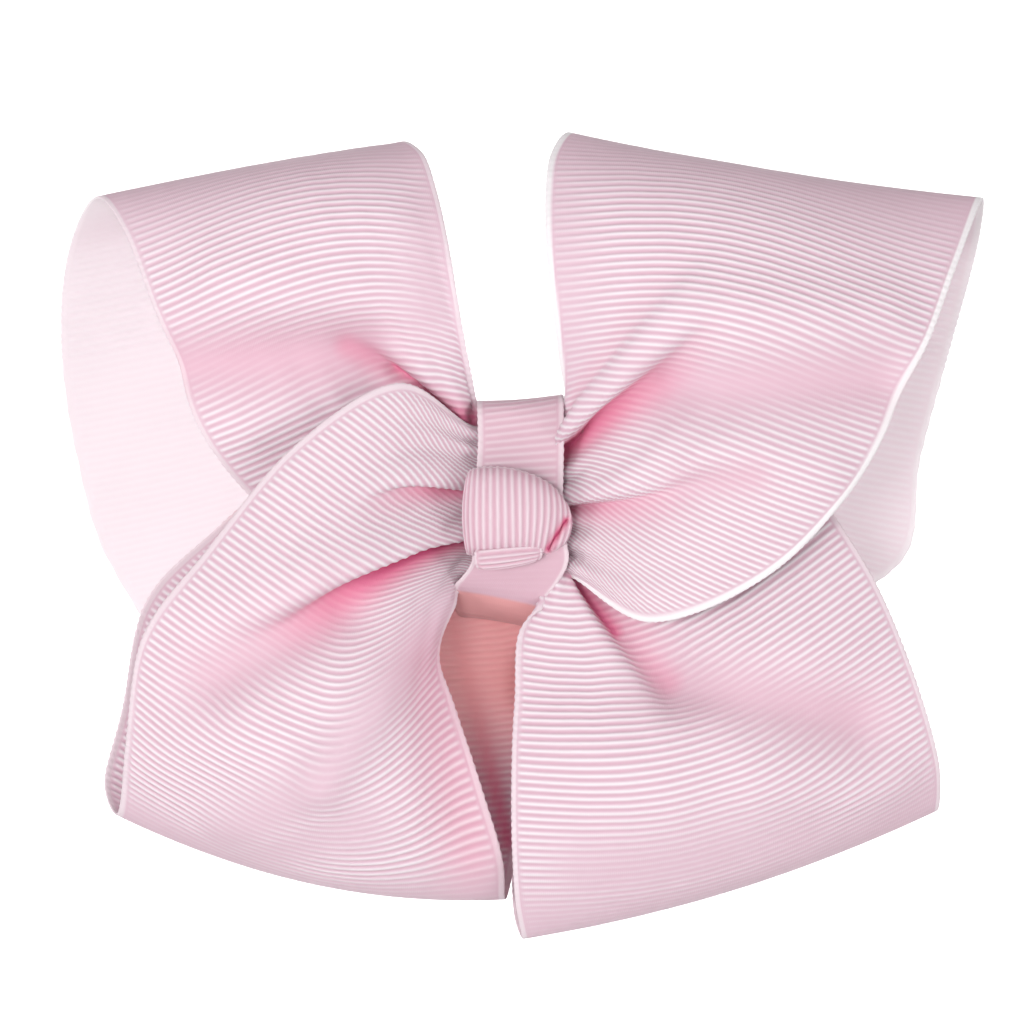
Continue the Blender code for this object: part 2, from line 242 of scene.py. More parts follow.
class Graph:
    """A material's nodes, with short ways to add and join them."""

    def __init__(self, name: str) -> None:
        """Makes a material with a Principled shader and nothing joined to it.

        Args:
            name: The material's name.
        """
        self.material = bpy.data.materials.new(name)
        self.material.use_nodes = True
        self.tree = self.material.node_tree
        self.shader = self.tree.nodes["Principled BSDF"]

    def add(self, kind: str, inputs: dict | None = None, **settings: object) -> bpy.types.Node:
        """Adds a node.

        Args:
            kind: The node's type name without its ShaderNode prefix.
            inputs: Values or output sockets for its inputs, by name or number.
            settings: Attributes of the node itself.

        Returns:
            The node.
        """
        node = self.tree.nodes.new("ShaderNode" + kind)
        for name, value in settings.items():
            setattr(node, name, value)
        for key, value in (inputs or {}).items():
            self.put(node.inputs[key], value)
        return node

    def put(self, socket: Socket, value: object) -> None:
        """Links an output into a socket, or sets the socket's own value.

        Args:
            socket: The input socket.
            value: An output socket, or a plain value.
        """
        if isinstance(value, Socket):
            self.tree.links.new(value, socket)
        else:
            socket.default_value = value

    def finish(self, **inputs: object) -> bpy.types.Material:
        """Sets the shader's inputs.

        Args:
            inputs: Their values or output sockets, by name with _ for each space.

        Returns:
            The material.
        """
        for name, value in inputs.items():
            self.put(self.shader.inputs[name.replace("_", " ")], value)
        return self.material

    def maths(self, what: str, a: object, b: object = 0.0, c: object = 0.0) -> Socket:
        """Adds a maths node.

        Args:
            what: Its operation.
            a: Its first value or socket.
            b: Its second.
            c: Its third.

        Returns:
            The result's socket.
        """
        return self.add("Math", {0: a, 1: b, 2: c}, operation=what).outputs[0]

    def mix(self, share: object, a: object, b: object) -> Socket:
        """Mixes two colours.

        Args:
            share: How much of the second there is, from 0 to 1.
            a: The first colour or its socket.
            b: The second.

        Returns:
            The mixed colour's socket.
        """
        node = self.add("Mix", data_type="RGBA")
        self.put(node.inputs[0], share)
        self.put(node.inputs[6], a)
        self.put(node.inputs[7], b)
        return node.outputs[2]

    def attribute(self, name: str) -> Socket:
        """Reads a number that is kept on the mesh's points.

        Args:
            name: The attribute's name.

        Returns:
            The number's socket.
        """
        return self.add("Attribute", attribute_name=name).outputs["Fac"]

    def noise(self, scale: float, detail: float = 2.0) -> Socket:
        """Adds noise in the piece's own space.

        Args:
            scale: In cycles per metre.
            detail: How many octaves it has.

        Returns:
            The noise's socket.
        """
        place = self.add("TexCoord").outputs["Object"]
        node = self.add("TexNoise", {"Vector": place, "Scale": scale, "Detail": detail})
        return node.outputs["Fac"]

    def bump(
        self, height: Socket, distance: float, strength: float, under: Socket | None = None
    ) -> Socket:
        """Adds a bump.

        Args:
            height: The height socket.
            distance: The height that a value of 1 stands for, in metres.
            strength: The bump's strength.
            under: The normal of a bump that this one lies on, if any.

        Returns:
            The normal's socket.
        """
        inputs = {"Height": height, "Distance": distance, "Strength": strength}
        if under is not None:
            inputs["Normal"] = under
        return self.add("Bump", inputs).outputs["Normal"]


@dataclass(frozen=True)
class Grosgrain:
    """Dyed grosgrain: cross ribs over fine warp yarns, with light and shade painted into its
    colour.

    The piece's UV map counts millimetres across the ribbon and ribs along it.

    Attributes:
        name: The material's name.
        pale: Colour of the ground.
        ridge: Painted highlight on the ribs' tops.
        groove: Painted shade between the ribs, also the colour of random blotches of tone.
        fold: Painted shade in the folds.
        deep: Painted shade in the deepest folds.
        warm_shade: Painted shade, salmon in hue, on the ribbon in the gap between the lower loops
            and under the wrap.
        edge: Painted highlight on the selvedges.
        painted_light: Painted light on the inner faces, near white.
        roughness: Mean roughness.
        sheen: How much the fuzz shines.
        yarn_pitch: From one warp yarn to the next, in mm.
        translucency: How much light passes even where it isn't thin, from 0 to 1.
    """

    name: str
    pale: str = "EDD5E0"
    ridge: str = "FFFAFD"
    groove: str = "DAA1B7"
    fold: str = "F2709D"
    deep: str = "B8406C"
    warm_shade: str = "F7AEAA"
    edge: str = "FFFAFC"
    painted_light: str = "FFFAFC"
    roughness: float = 0.6
    sheen: float = 0.25
    yarn_pitch: float = 0.34
    translucency: float = 0.16

    def colour(self, g: Graph, wave: Socket, ribbed: Socket) -> Socket:
        """Colours the ribs, with light and shade painted over them, the folds, the selvedges and
        the inner faces.

        Args:
            g: The material's nodes.
            wave: The ribs' height, from 0 to 1.
            ribbed: How clearly the ribs stand out, from 0 to 1.

        Returns:
            The colour's socket.
        """
        # Painted shade between the ribs and over the flattened ribs, and a painted highlight on
        # their tops.
        hollow = g.maths("MULTIPLY", g.maths("SUBTRACT", 1.0, wave), ribbed)
        pulled = g.maths("MULTIPLY", g.maths("SUBTRACT", 1.0, ribbed), 0.5)
        hollow = g.maths("ADD", g.maths("POWER", hollow, 1.6), pulled)
        crest = g.maths("MULTIPLY", g.maths("POWER", wave, 2.0), ribbed)
        # Painted shade in the folds, darker in the deepest ones.
        fold = g.attribute("fold")
        deep = g.maths("MULTIPLY", g.maths("SUBTRACT", fold, 0.75), 2.4)
        base = linear(self.pale)
        # Random blotches of tone, then painted shade and highlights on the ribs, a painted
        # highlight on the selvedges, painted shade in the folds and the gap, and painted light on
        # the inner faces.
        for share, colour in (
            (g.maths("MULTIPLY", g.noise(90.0, 3.0), 0.16), self.groove),
            (g.maths("MULTIPLY", hollow, 0.5), self.groove),
            (g.maths("MULTIPLY", crest, 0.85), self.ridge),
            (g.attribute("edge"), self.edge),
            (fold, self.fold),
            (g.add("Clamp", {0: deep}).outputs[0], self.deep),
            (g.attribute("warm_shade"), self.warm_shade),
            (g.attribute("painted_light"), self.painted_light),
        ):
            base = g.mix(share, base, linear(colour))
        return base

    def make(self) -> bpy.types.Material:
        """Builds the material.

        Returns:
            The material.
        """
        g = Graph(self.name)
        axes = g.add("SeparateXYZ", {0: g.add("UVMap", uv_map="ribbon").outputs["UV"]})
        turn = g.maths("MULTIPLY", axes.outputs["Y"], 2 * math.pi)
        wave = g.maths("MULTIPLY_ADD", g.maths("COSINE", turn), 0.5, 0.5)
        ribbed = g.attribute("ribbed")
        base = self.colour(g, wave, ribbed)
        turn = g.maths("MULTIPLY", axes.outputs["X"], 2 * math.pi / self.yarn_pitch)
        low = g.maths("MULTIPLY_ADD", wave, 0.6, 0.4)
        weave = g.maths("MULTIPLY", g.maths("SINE", turn), low)
        fuzz = g.noise(2600.0, 2.0)
        rib_bump = g.bump(g.maths("MULTIPLY", wave, ribbed), 0.00012, 0.55)
        g.finish(
            Base_Color=base,
            Normal=g.bump(g.maths("MULTIPLY_ADD", weave, 0.4, fuzz), 0.00003, 0.5, rib_bump),
            Roughness=g.maths("MULTIPLY_ADD", fuzz, 0.14, self.roughness - 0.07),
            Sheen_Weight=self.sheen,
            Sheen_Roughness=0.4,
            Specular_IOR_Level=0.35,
        )
        # Light through the ribbon takes the painted light and salmon painted shade where they lie.
        thin = g.attribute("thin")
        glow = g.mix(g.attribute("warm_shade"), linear(self.painted_light), linear(self.warm_shade))
        through = g.add("BsdfTranslucent", {"Color": g.mix(thin, base, glow)})
        share = g.maths("MULTIPLY_ADD", thin, 0.55, self.translucency)
        joined = g.add("MixShader", {0: share, 1: g.shader.outputs[0], 2: through.outputs[0]})
        g.put(g.tree.nodes["Material Output"].inputs["Surface"], joined.outputs[0])
        return g.material


@dataclass(frozen=True)
class Plating:
    """Nickel plating on stamped steel, with drawn-sheet grain and cloudy patches.

    Attributes:
        name: The material's name.
        colour: Its colour.
        dull: Its colour in the patches.
        roughness: Least roughness.
    """

    name: str
    colour: str = "D6D6D8"
    dull: str = "9C9CA2"
    roughness: float = 0.2

    def make(self) -> bpy.types.Material:
        """Builds the material.

        Returns:
            The material.
        """
        g = Graph(self.name)
        place = g.add("TexCoord").outputs["Object"]
        drawn = g.add("Mapping", {"Vector": place, "Scale": (900.0, 9000.0, 9000.0)})
        noise = g.add("TexNoise", {"Vector": drawn.outputs[0], "Scale": 1.0, "Detail": 3.0})
        grain = noise.outputs["Fac"]
        cloud = g.noise(260.0, 4.0)
        rough = g.maths("MULTIPLY_ADD", grain, 0.16, self.roughness)
        return g.finish(
            Base_Color=g.mix(cloud, linear(self.colour), linear(self.dull)),
            Metallic=1.0,
            Roughness=g.maths("MULTIPLY_ADD", cloud, 0.1, rough),
            Normal=g.bump(grain, 0.00001, 0.5),
        )


@dataclass(frozen=True)
class SetGlue:
    """Clear glue that has set milky.

    Attributes:
        name: The material's name.
        colour: Its colour.
        cloudy: Its colour in the cloudy patches.
    """

    name: str
    colour: str = "EFE6DC"
    cloudy: str = "D9C9C2"

    def make(self) -> bpy.types.Material:
        """Builds the material.

        Returns:
            The material.
        """
        g = Graph(self.name)
        cloud = g.noise(700.0, 3.0)
        return g.finish(
            Base_Color=g.mix(cloud, linear(self.colour), linear(self.cloudy)),
            Roughness=g.maths("MULTIPLY_ADD", cloud, 0.2, 0.16),
            Normal=g.bump(cloud, 0.0002, 0.4),
            Transmission_Weight=0.25,
        )


@dataclass(frozen=True)
class SpunCotton:
    """Two-ply sewing thread.

    Attributes:
        name: The material's name.
        colour: Its colour.
        shade: Its colour between the fibres.
    """

    name: str
    colour: str = "E9A9BE"
    shade: str = "C9708F"

    def make(self) -> bpy.types.Material:
        """Builds the material.

        Returns:
            The material.
        """
        g = Graph(self.name)
        fibre = g.noise(9000.0, 3.0)
        return g.finish(
            Base_Color=g.mix(fibre, linear(self.colour), linear(self.shade)),
            Normal=g.bump(fibre, 0.00004, 0.8),
            Roughness=0.8,
            Sheen_Weight=0.3,
        )


# ------------------------------------------------------------------- ribbon surfaces


class Lip(Enum):
    """The side of a crease on which its ridge stands."""

    INNER = 1
    OUTER = -1


@dataclass(frozen=True)
class Crease:
    """A fold that runs out from the gather on a loop's front.

    Attributes:
        start: Its place across the ribbon at the gather, 0 at the inner selvedge.
        end: Its place across at its far end.
        reach: How far it runs from the gather, in mm.
        depth: Height from its ridge to its valley, in mm.
        spread: Its half width, as a share of the ribbon's width.
        overhang: How far its ridge leans over its valley, in mm.
        lip: The side on which its ridge stands.
        painted_shade: How much painted shade lies in the valley, from 0 to 1.
    """

    start: float
    end: float
    reach: float
    depth: float
    spread: float = 0.07
    overhang: float = 0.8
    lip: Lip = Lip.INNER
    painted_shade: float = 0.8


@dataclass(frozen=True)
class Swell:
    """A long rise or hollow in a loop's front, and how the ribbon looks along it.

    Attributes:
        line: (x1, z1, x2, z2) of its middle, in mm.
        radius: How far it spreads, in mm.
        lift: How far its middle stands forward, in mm; a hollow is negative.
        painted_shade: How much painted shade it carries, from 0 to 1.
        calm: How much its ribs are pulled flat, from 0 to 1.
        rear: Whether it lies inside the loop's rear pass.
    """

    line: tuple[float, float, float, float]
    radius: float
    lift: float = 0.0
    painted_shade: float = 0.0
    calm: float = 0.0
    rear: bool = False

    def share(self, x: np.ndarray, z: np.ndarray) -> np.ndarray:
        """How strongly the swell acts at some places.

        Args:
            x: Their x, in mm.
            z: Their z, in mm.

        Returns:
            1 on its middle line, and less the farther a place is from it.
        """
        x1, z1, x2, z2 = self.line
        run = np.array([x2 - x1, z2 - z1])
        along = np.clip(((x - x1) * run[0] + (z - z1) * run[1]) / (run @ run), 0, 1)
        gap = np.hypot(x - x1 - along * run[0], z - z1 - along * run[1])
        return np.exp(-((gap / self.radius) ** 2))


@dataclass
class Weave:
    """How a ribbon is woven, and how finely it is modelled. Sizes in mm.

    Attributes:
        thickness: The ground cloth's thickness, without its ribs.
        rib_pitch: From one rib to the next.
        rib_height: How far a rib stands out of each face.
        edge_width: Width of the beaded selvedge.
        across: Faces across the ribbon.
        selvedge_highlight: How strong the painted highlight on its selvedges is, from 0 to 1.
        scallop: How far the selvedges go in and out from rib to rib.
    """

    thickness: float = 0.4
    rib_pitch: float = 1.3
    rib_height: float = 0.19
    edge_width: float = 1.0
    across: int = 60
    selvedge_highlight: float = 0.5
    scallop: float = 0.08


@dataclass
class Sheet:
    """A grid of points of a ribbon's middle surface, with what its finish needs.

    Attributes:
        points: (x, z, d) in mm, in rows along the ribbon and columns across it.
        along: Length along each thread, in mm.
        calm: How flat the ribs are pulled, from 0 to 1.
        fold: How much painted shade both its faces carry, from 0 to 1.
        warm_shade: How much salmon painted shade it carries, from 0 to 1.
        thin: How much light comes through it, from 0 to 1.
        inside: How much painted shade its inner face alone carries, from 0 to 1.
    """

    points: np.ndarray
    along: np.ndarray
    calm: np.ndarray | float = 0.0
    fold: np.ndarray | float = 0.0
    warm_shade: np.ndarray | float = 0.0
    thin: np.ndarray | float = 0.0
    inside: np.ndarray | float = 0.0

    def across(self) -> np.ndarray:
        """Measures the ribbon's width as it lies.

        Returns:
            How far each point is from the first selvedge, in mm.
        """
        return arc_length(self.points.swapaxes(0, 1)).T

    def sideways(self) -> np.ndarray:
        """Finds which way the ribbon's width runs.

        Returns:
            A unit vector across the ribbon at each point.
        """
        return unit(np.gradient(self.points, axis=1))

    def normals(self) -> np.ndarray:
        """Finds which way the sheet faces.

        Returns:
            Its unit normal at each point.
        """
        down, side = (np.gradient(self.points, axis=k) for k in (0, 1))
        return unit(np.cross(down, side))

    def length(self) -> float:
        """Measures the ribbon's mean length.

        Returns:
            The length, in mm.
        """
        return float(np.ptp(self.along, axis=0).mean())


def ribbon_mesh(
    name: str, sheet: Sheet, weave: Weave, inner: tuple[float, float] = (1, 1), painted_light: float = 0.0
) -> bpy.types.Object:
    """Makes a closed ribbon with ribs and beaded selvedges on both its faces.

    Args:
        name: The piece's name.
        sheet: Its middle surface.
        weave: How it is woven.
        inner: How much of the painted shade and painted light of the inner face its upper and
            under faces show.
        painted_light: How strong the painted light on the inner face is, from 0 to 1.

    Returns:
        The piece.
    """
    rows, columns = sheet.points.shape[:2]
    # Ribs and beaded selvedges, as a height above the middle surface.
    across = sheet.across()
    width = across[:, -1:]
    from_edge = np.minimum(across, width - across)
    phase = np.cos(2 * np.pi * sheet.along / weave.rib_pitch)
    raised = 1 - sheet.calm
    ribbed = smooth(weave.edge_width - 0.1, weave.edge_width + 0.7, from_edge) * raised
    bead = np.exp(-(((from_edge - 0.45 * weave.edge_width) / (0.3 * weave.edge_width)) ** 2))
    height = weave.thickness / 2 + weave.rib_height * (0.5 + 0.5 * phase) * ribbed
    height = height + bead * (0.05 + 0.1 * phase) * raised
    height = height * smooth(-0.35, 0.3, from_edge)
    lifted = sheet.normals() * height[..., None]
    outward = sheet.sideways() * np.where(across < width / 2, -1, 1)[..., None]
    scallop = weave.scallop * phase * (1 - 0.7 * sheet.calm) * np.exp(-((from_edge / 0.5) ** 2))
    sheet.points += outward * scallop[..., None]
    # The upper face, the under face, and the wall round their rims.
    points = np.concatenate([(sheet.points + lifted * k).reshape(-1, 3) for k in (1, -1)])
    index = np.arange(rows * columns).reshape(rows, columns)
    corners = [index[:-1, :-1], index[1:, :-1], index[1:, 1:], index[:-1, 1:]]
    top = np.stack(corners, axis=-1).reshape(-1, 4)
    under = top[:, ::-1] + rows * columns
    rim = np.concatenate([index[0, :], index[1:, -1], index[-1, -2::-1], index[-2:0:-1, 0]])
    ahead = np.roll(rim, -1)
    wall = np.stack([rim, ahead, ahead + rows * columns, rim + rows * columns], axis=1)
    mesh = bpy.data.meshes.new(name)
    faces = np.concatenate([top, under, wall])
    mesh.from_pydata((in_frame(points) * MM).tolist(), [], faces.tolist())
    # What the finish reads: a UV map in mm and ribs, and numbers on the points.
    layer = mesh.uv_layers.new(name="ribbon")
    corner = np.array([loop.vertex_index for loop in mesh.loops]) % (rows * columns)
    flat = [across.reshape(-1)[corner], sheet.along.reshape(-1)[corner] / weave.rib_pitch]
    layer.data.foreach_set("uv", np.stack(flat, axis=1).astype(np.float32).reshape(-1))
    # Painted highlight along the selvedges.
    edge = (1 - smooth(0.75 * weave.edge_width, weave.edge_width, from_edge)) * weave.selvedge_highlight
    # The points carry painted shade (fold, warm) and painted light (faded) for the finish.
    values = {
        "fold": [np.maximum(sheet.fold, sheet.inside * share) for share in inner],
        "ribbed": [ribbed] * 2,
        "edge": [edge] * 2,
        "thin": [sheet.thin] * 2,
        "warm_shade": [sheet.warm_shade * share for share in inner],
        "painted_light": [painted_light * share for share in inner],
    }
    for key, of_faces in values.items():
        made = mesh.attributes.new(key, "FLOAT", "POINT")
        flat = [np.broadcast_to(value, across.shape).reshape(-1) for value in of_faces]
        made.data.foreach_set("value", np.concatenate(flat).astype(np.float32))
    bm = bmesh.new()
    bm.from_mesh(mesh)
    if bm.calc_volume(signed=True) < 0:
        bmesh.ops.reverse_faces(bm, faces=bm.faces)
    bm.to_mesh(mesh)
    bm.free()
    mesh.shade_smooth()
    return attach(add_object(name, mesh), BOW)


def declare_sheet(
    piece: bpy.types.Object, sheet: Sheet
) -> None:
    """Logs a ribbon's length.

    Args:
        piece: The finished ribbon.
        sheet: Its middle surface, which gives its length.
    """
    length = sheet.length()
    LOG.info("%s: %.1f mm of ribbon", piece.name, length)


@dataclass
class WideLoop:
    """One puffed loop of the wide ribbon.

    Attributes:
        node: The CAD node that it stands for.
        inner: Guide points along the selvedge nearer the bow's upright centre line.
        middle: Guide points along the middle of the ribbon.
        outer: Guide points along the outer selvedge.
        creases: The folds on its front.
        swells: The long rises and hollows of its front.
        rear_warm_shade: How much salmon painted shade its rear pass carries near the gather, 0 to
            1.
        inside_painted_light: How much painted light its inner face carries, from 0 to 1.
        bend_calm: How far from its bend the ribs are pulled flat, in mm.
        swing: How far its front's ribs climb towards the inner selvedge, in mm.
        seed: Of its small gathers.
        weave: How it is woven.
        front_rows: Rows of faces along its front pass.
        rear_rows: Rows of faces along its rear pass.
        flat_width: Width of the ribbon laid flat, in mm. Not used.
    """

    node: str
    inner: list[Point]
    middle: list[Point]
    outer: list[Point]
    creases: list[Crease] = field(default_factory=list)
    swells: list[Swell] = field(default_factory=list)
    rear_warm_shade: float = 0.0
    inside_painted_light: float = 0.0
    bend_calm: float = 8.0
    swing: float = 0.0
    seed: int = 1
    weave: Weave = field(default_factory=Weave)
    front_rows: int = 360
    rear_rows: int = 250
    flat_width: float = 75.0

    def base(self, t: np.ndarray, v: np.ndarray) -> np.ndarray:
        """Points of the plain surface.

        Args:
            t: Places along it, from 0 to 1.
            v: Places across it, from 0 to 1.

        Returns:
            The points, (x, z, d) in mm.
        """
        return surface((self.inner, self.middle, self.outer), t, v)

    def lengths(self, v: np.ndarray, steps: int = 1200) -> tuple[np.ndarray, np.ndarray]:
        """Arc lengths along threads of the plain surface.

        Args:
            v: The threads' places across.
            steps: How finely they are measured.

        Returns:
            The places along, and the length up to each on every thread.
        """
        t = np.linspace(0, 1, steps + 1)
        points = self.base(np.repeat(t[:, None], len(v), 1), np.repeat(v[None], len(t), 0))
        return t, arc_length(points)

    def rows(self, v: np.ndarray) -> tuple[np.ndarray, np.ndarray]:
        """Rows that follow the ribs over the bend and close up towards the gather.

        Args:
            v: Places across.

        Returns:
            For each row and thread, the place along and the length from the bend,
            which is negative on the front pass.
        """
        t, length = self.lengths(v)
        bend = length[len(t) // 2]
        front = np.linspace(-1, 0, self.front_rows + 1)
        share = np.concatenate([front, np.linspace(0, 1, self.rear_rows + 1)[1:]])
        place = np.empty((len(share), len(v)))
        from_bend = np.empty_like(place)
        for j in range(len(v)):
            for half, totals in ((-1, bend), (1, length[-1] - bend)):
                rows = share * half >= 0
                s = np.abs(share[rows])
                # Even ribs from the bend, then rows that close up to end at the gather.
                shortest = float(totals.min())
                true = TRUE_SHARE * shortest
                beyond = true + (totals[j] - true) * (s - TRUE_SHARE) / (1 - TRUE_SHARE)
                from_bend[rows, j] = half * np.where(s < TRUE_SHARE, s * shortest, beyond)
            depth = np.maximum(-from_bend[:, j], 0)
            swing = self.swing * (1 - smooth(0, 0.5, v[j]))
            arc = from_bend[:, j] - swing * np.sin(np.pi * depth / bend[j])
            place[:, j] = np.interp(arc + bend[j], length[:, j], t)
        return place, from_bend

    def sheet(self) -> Sheet:
        """Lofts the loop, folds and gathers included.

        Returns:
            Its middle surface.
        """
        even = np.linspace(0, 1, 41)
        place, from_bend = self.rows(even)
        plain = self.base(place, np.repeat(even[None], len(place), 0))
        widths = arc_length(plain.swapaxes(0, 1))[-1]
        v = np.empty((len(place), 2 * len(SELVEDGE_COLUMNS) + self.weave.across - 1))
        t, along = np.empty_like(v), np.empty_like(v)
        for i, width in enumerate(widths):
            edge = SELVEDGE_COLUMNS / width
            between = np.linspace(edge[-1], 1 - edge[-1], self.weave.across + 1)[1:-1]
            v[i] = np.concatenate([edge, between, 1 - edge[::-1]])
            t[i] = np.interp(v[i], even, place[i])
            along[i] = np.interp(v[i], even, from_bend[i])
        _, length = self.lengths(even)
        bend = length[len(length) // 2]
        front_total = np.interp(v, even, bend)
        rear_total = np.interp(v, even, length[-1] - bend)
        from_gather = np.where(along < 0, front_total + along, rear_total - along)
        calm = 0.9 * np.exp(-np.abs(along / self.bend_calm) ** 3)
        sheet = Sheet(self.base(t, v), along, calm)
        self.fold(sheet, v, from_gather, along < 0)
        return sheet

    def fold(self, sheet: Sheet, v: np.ndarray, q: np.ndarray, front: np.ndarray) -> None:
        """Presses the creases and gathers into the sheet and paints shade into them.

        Args:
            sheet: The sheet, changed in place.
            v: Place across of each point.
            q: Distance from the gather of each point, in mm.
            front: Whether each point is on the front pass.
        """
        normal, side = sheet.normals(), sheet.sideways()
        facing = np.where(front, np.sign(normal[..., 2:3].mean(axis=1))[:, 0][:, None], 1.0)
        lift, lean = np.zeros_like(v), np.zeros_like(v)
        for crease in self.creases:
            # s is 0 on the crease's middle line, less on its ridge and more in its valley.
            centre = crease.start + (crease.end - crease.start) * q / crease.reach
            s = crease.lip.value * (v - centre) / crease.spread
            fade = smooth(2, 9, q) * (1 - smooth(0.5 * crease.reach, crease.reach, q)) * front
            lift += -0.5 * crease.depth * fade * np.tanh(3.5 * s) * np.exp(-0.5 * s**2)
            pull = crease.overhang * fade * (s / 0.4) * np.exp(-0.5 * (s / 0.4) ** 2)
            lean -= crease.lip.value * pull
            # Painted shade in the valley, and a painted dark slit beside the gather.
            valley = smooth(-0.1, 0.2, s) * np.exp(-((np.maximum(s - 0.4, 0) / 0.9) ** 2))
            reach = (1 - smooth(0.15 * crease.reach, 0.95 * crease.reach, q)) * front
            valley = valley * crease.painted_shade * reach
            slit = np.exp(-(((s - 0.15) / 0.24) ** 2)) * (1 - smooth(8, 22, q)) * front
            sheet.fold = np.maximum(sheet.fold, np.maximum(valley, 1.2 * crease.painted_shade * slit))
            sheet.calm = np.maximum(sheet.calm, 0.8 * valley)
        draw = np.random.default_rng(self.seed)
        for waves in GATHER_WAVES:
            shift = draw.uniform(0, 2 * np.pi)
            drift = draw.uniform(-0.02, 0.02)
            size = draw.uniform(0.25, 0.45) * smooth(2, 8, q) * np.exp(-q / 22)
            lift += size * np.cos(2 * np.pi * waves * v + shift + drift * q)
        pleats = PLEAT_HEIGHT * np.cos(2 * np.pi * PLEATS * v + self.seed)
        lift += pleats * (1 - smooth(4, 18, q))
        x, z = sheet.points[..., 0], sheet.points[..., 1]
        away = smooth(4, 12, q) * smooth(4, 16, -sheet.along) * front
        for swell in self.swells:
            share = swell.share(x, z) * (~front if swell.rear else front)
            lift += swell.lift * share * away
            # A swell paints shade on the front, or on the inner face of the rear pass.
            kind = "inside" if swell.rear else "fold"
            setattr(sheet, kind, np.maximum(getattr(sheet, kind), swell.painted_shade * share))
            sheet.calm = np.maximum(sheet.calm, swell.calm * share)
        sheet.points += normal * (lift * facing)[..., None] + side * lean[..., None]
        # Painted shade, salmon in hue, on the rear pass near the gather; more light passes through
        # there and where light is painted.
        sheet.warm_shade = self.rear_warm_shade * (1 - smooth(30, 62, q)) * ~front
        sheet.thin = smooth(2, 16, sheet.along) * np.maximum(self.inside_painted_light, 0.9 * sheet.warm_shade)

    def build(self, finish: bpy.types.Material) -> bpy.types.Object:
        """Makes the loop.

        Args:
            finish: Its material.

        Returns:
            The piece.
        """
        sheet = self.sheet()
        out = sheet.normals()[: self.front_rows // 2, :, 2].mean() > 0
        inner = (0, 1) if out else (1, 0)
        piece = ribbon_mesh(self.node + "_ribbon", sheet, self.weave, inner, self.inside_painted_light)
        settle(piece, finish, "wide_ribbon", self.node)
        declare_sheet(piece, sheet)
        return piece


def upper_left() -> WideLoop:
    """Sizes the upper left loop.

    Returns:
        The loop.
    """
    return WideLoop(
        node="upper_left_loop",
        inner=[
            (-0.4, 17.6, 0.5), (-7.5, 18.8, 2.2), (-8.6, 27, 8), (-10.4, 38, 12.5),
            (-12.2, 48, 12.5), (-14.0, 56, 10), (-16.2, 62.4, 6), (-19.8, 65.3, 0),
            (-19.8, 62, -6), (-17.6, 54, -9.5), (-15, 44, -10.5), (-13, 34, -9.5),
            (-10.5, 25, -7), (-7.5, 18.8, -5), (-0.4, 17.6, -4.5),
        ],
        middle=[
            (-0.4, 2.6, 0.5), (-7.5, 3.5, 2.2), (-17, 11, 5.5), (-28, 28, 12),
            (-36, 43, 17), (-41, 52.4, 15), (-44, 58.8, 8.5), (-45.5, 61.2, 0),
            (-46, 58, -8), (-45, 49, -14), (-42, 35, -16.5), (-36, 20, -16.5),
            (-24, 8, -9.2), (-7.5, 3.5, -5), (-0.4, 2.6, -4.5),
        ],
        outer=[
            (-0.4, -12.4, 0.5), (-8.0, -12.4, 2.0), (-29, -12, 3.5), (-47.5, 4.5, 7),
            (-57, 19, 10.5), (-62.4, 35, 11.5), (-68.0, 49, 8), (-74.0, 55.6, 0),
            (-79.5, 47, -7), (-81.6, 32, -12), (-79.6, 12, -16), (-73, -9.5, -17),
            (-57, -26, -16), (-23, -18.2, -8.6), (-0.4, -12.4, -4.5),
        ],
        creases=[Crease(0.08, 0.52, 46, 5.0, spread=0.085, overhang=1.6, painted_shade=0.75)],
        swells=[
            Swell((-8.5, 17, -20.5, 24.6), 1.7, lift=-1.2, painted_shade=0.85),
            Swell((-20.5, 24.6, -29, 28.2), 2.8, lift=-1.0, painted_shade=0.4),
            Swell((-62, 25, -26, 28), 6.5, lift=-3.6, painted_shade=0.13, calm=0.9),
            Swell((-50, 40, -20, 36), 6.0, lift=1.6),
            Swell((-46, 15, -32, 20), 5.0, lift=1.4),
            Swell((-14, 60, -15, 36), 7.0, calm=0.7),
        ],
        inside_painted_light=0.88,
        bend_calm=17.0,
        seed=11,
    )


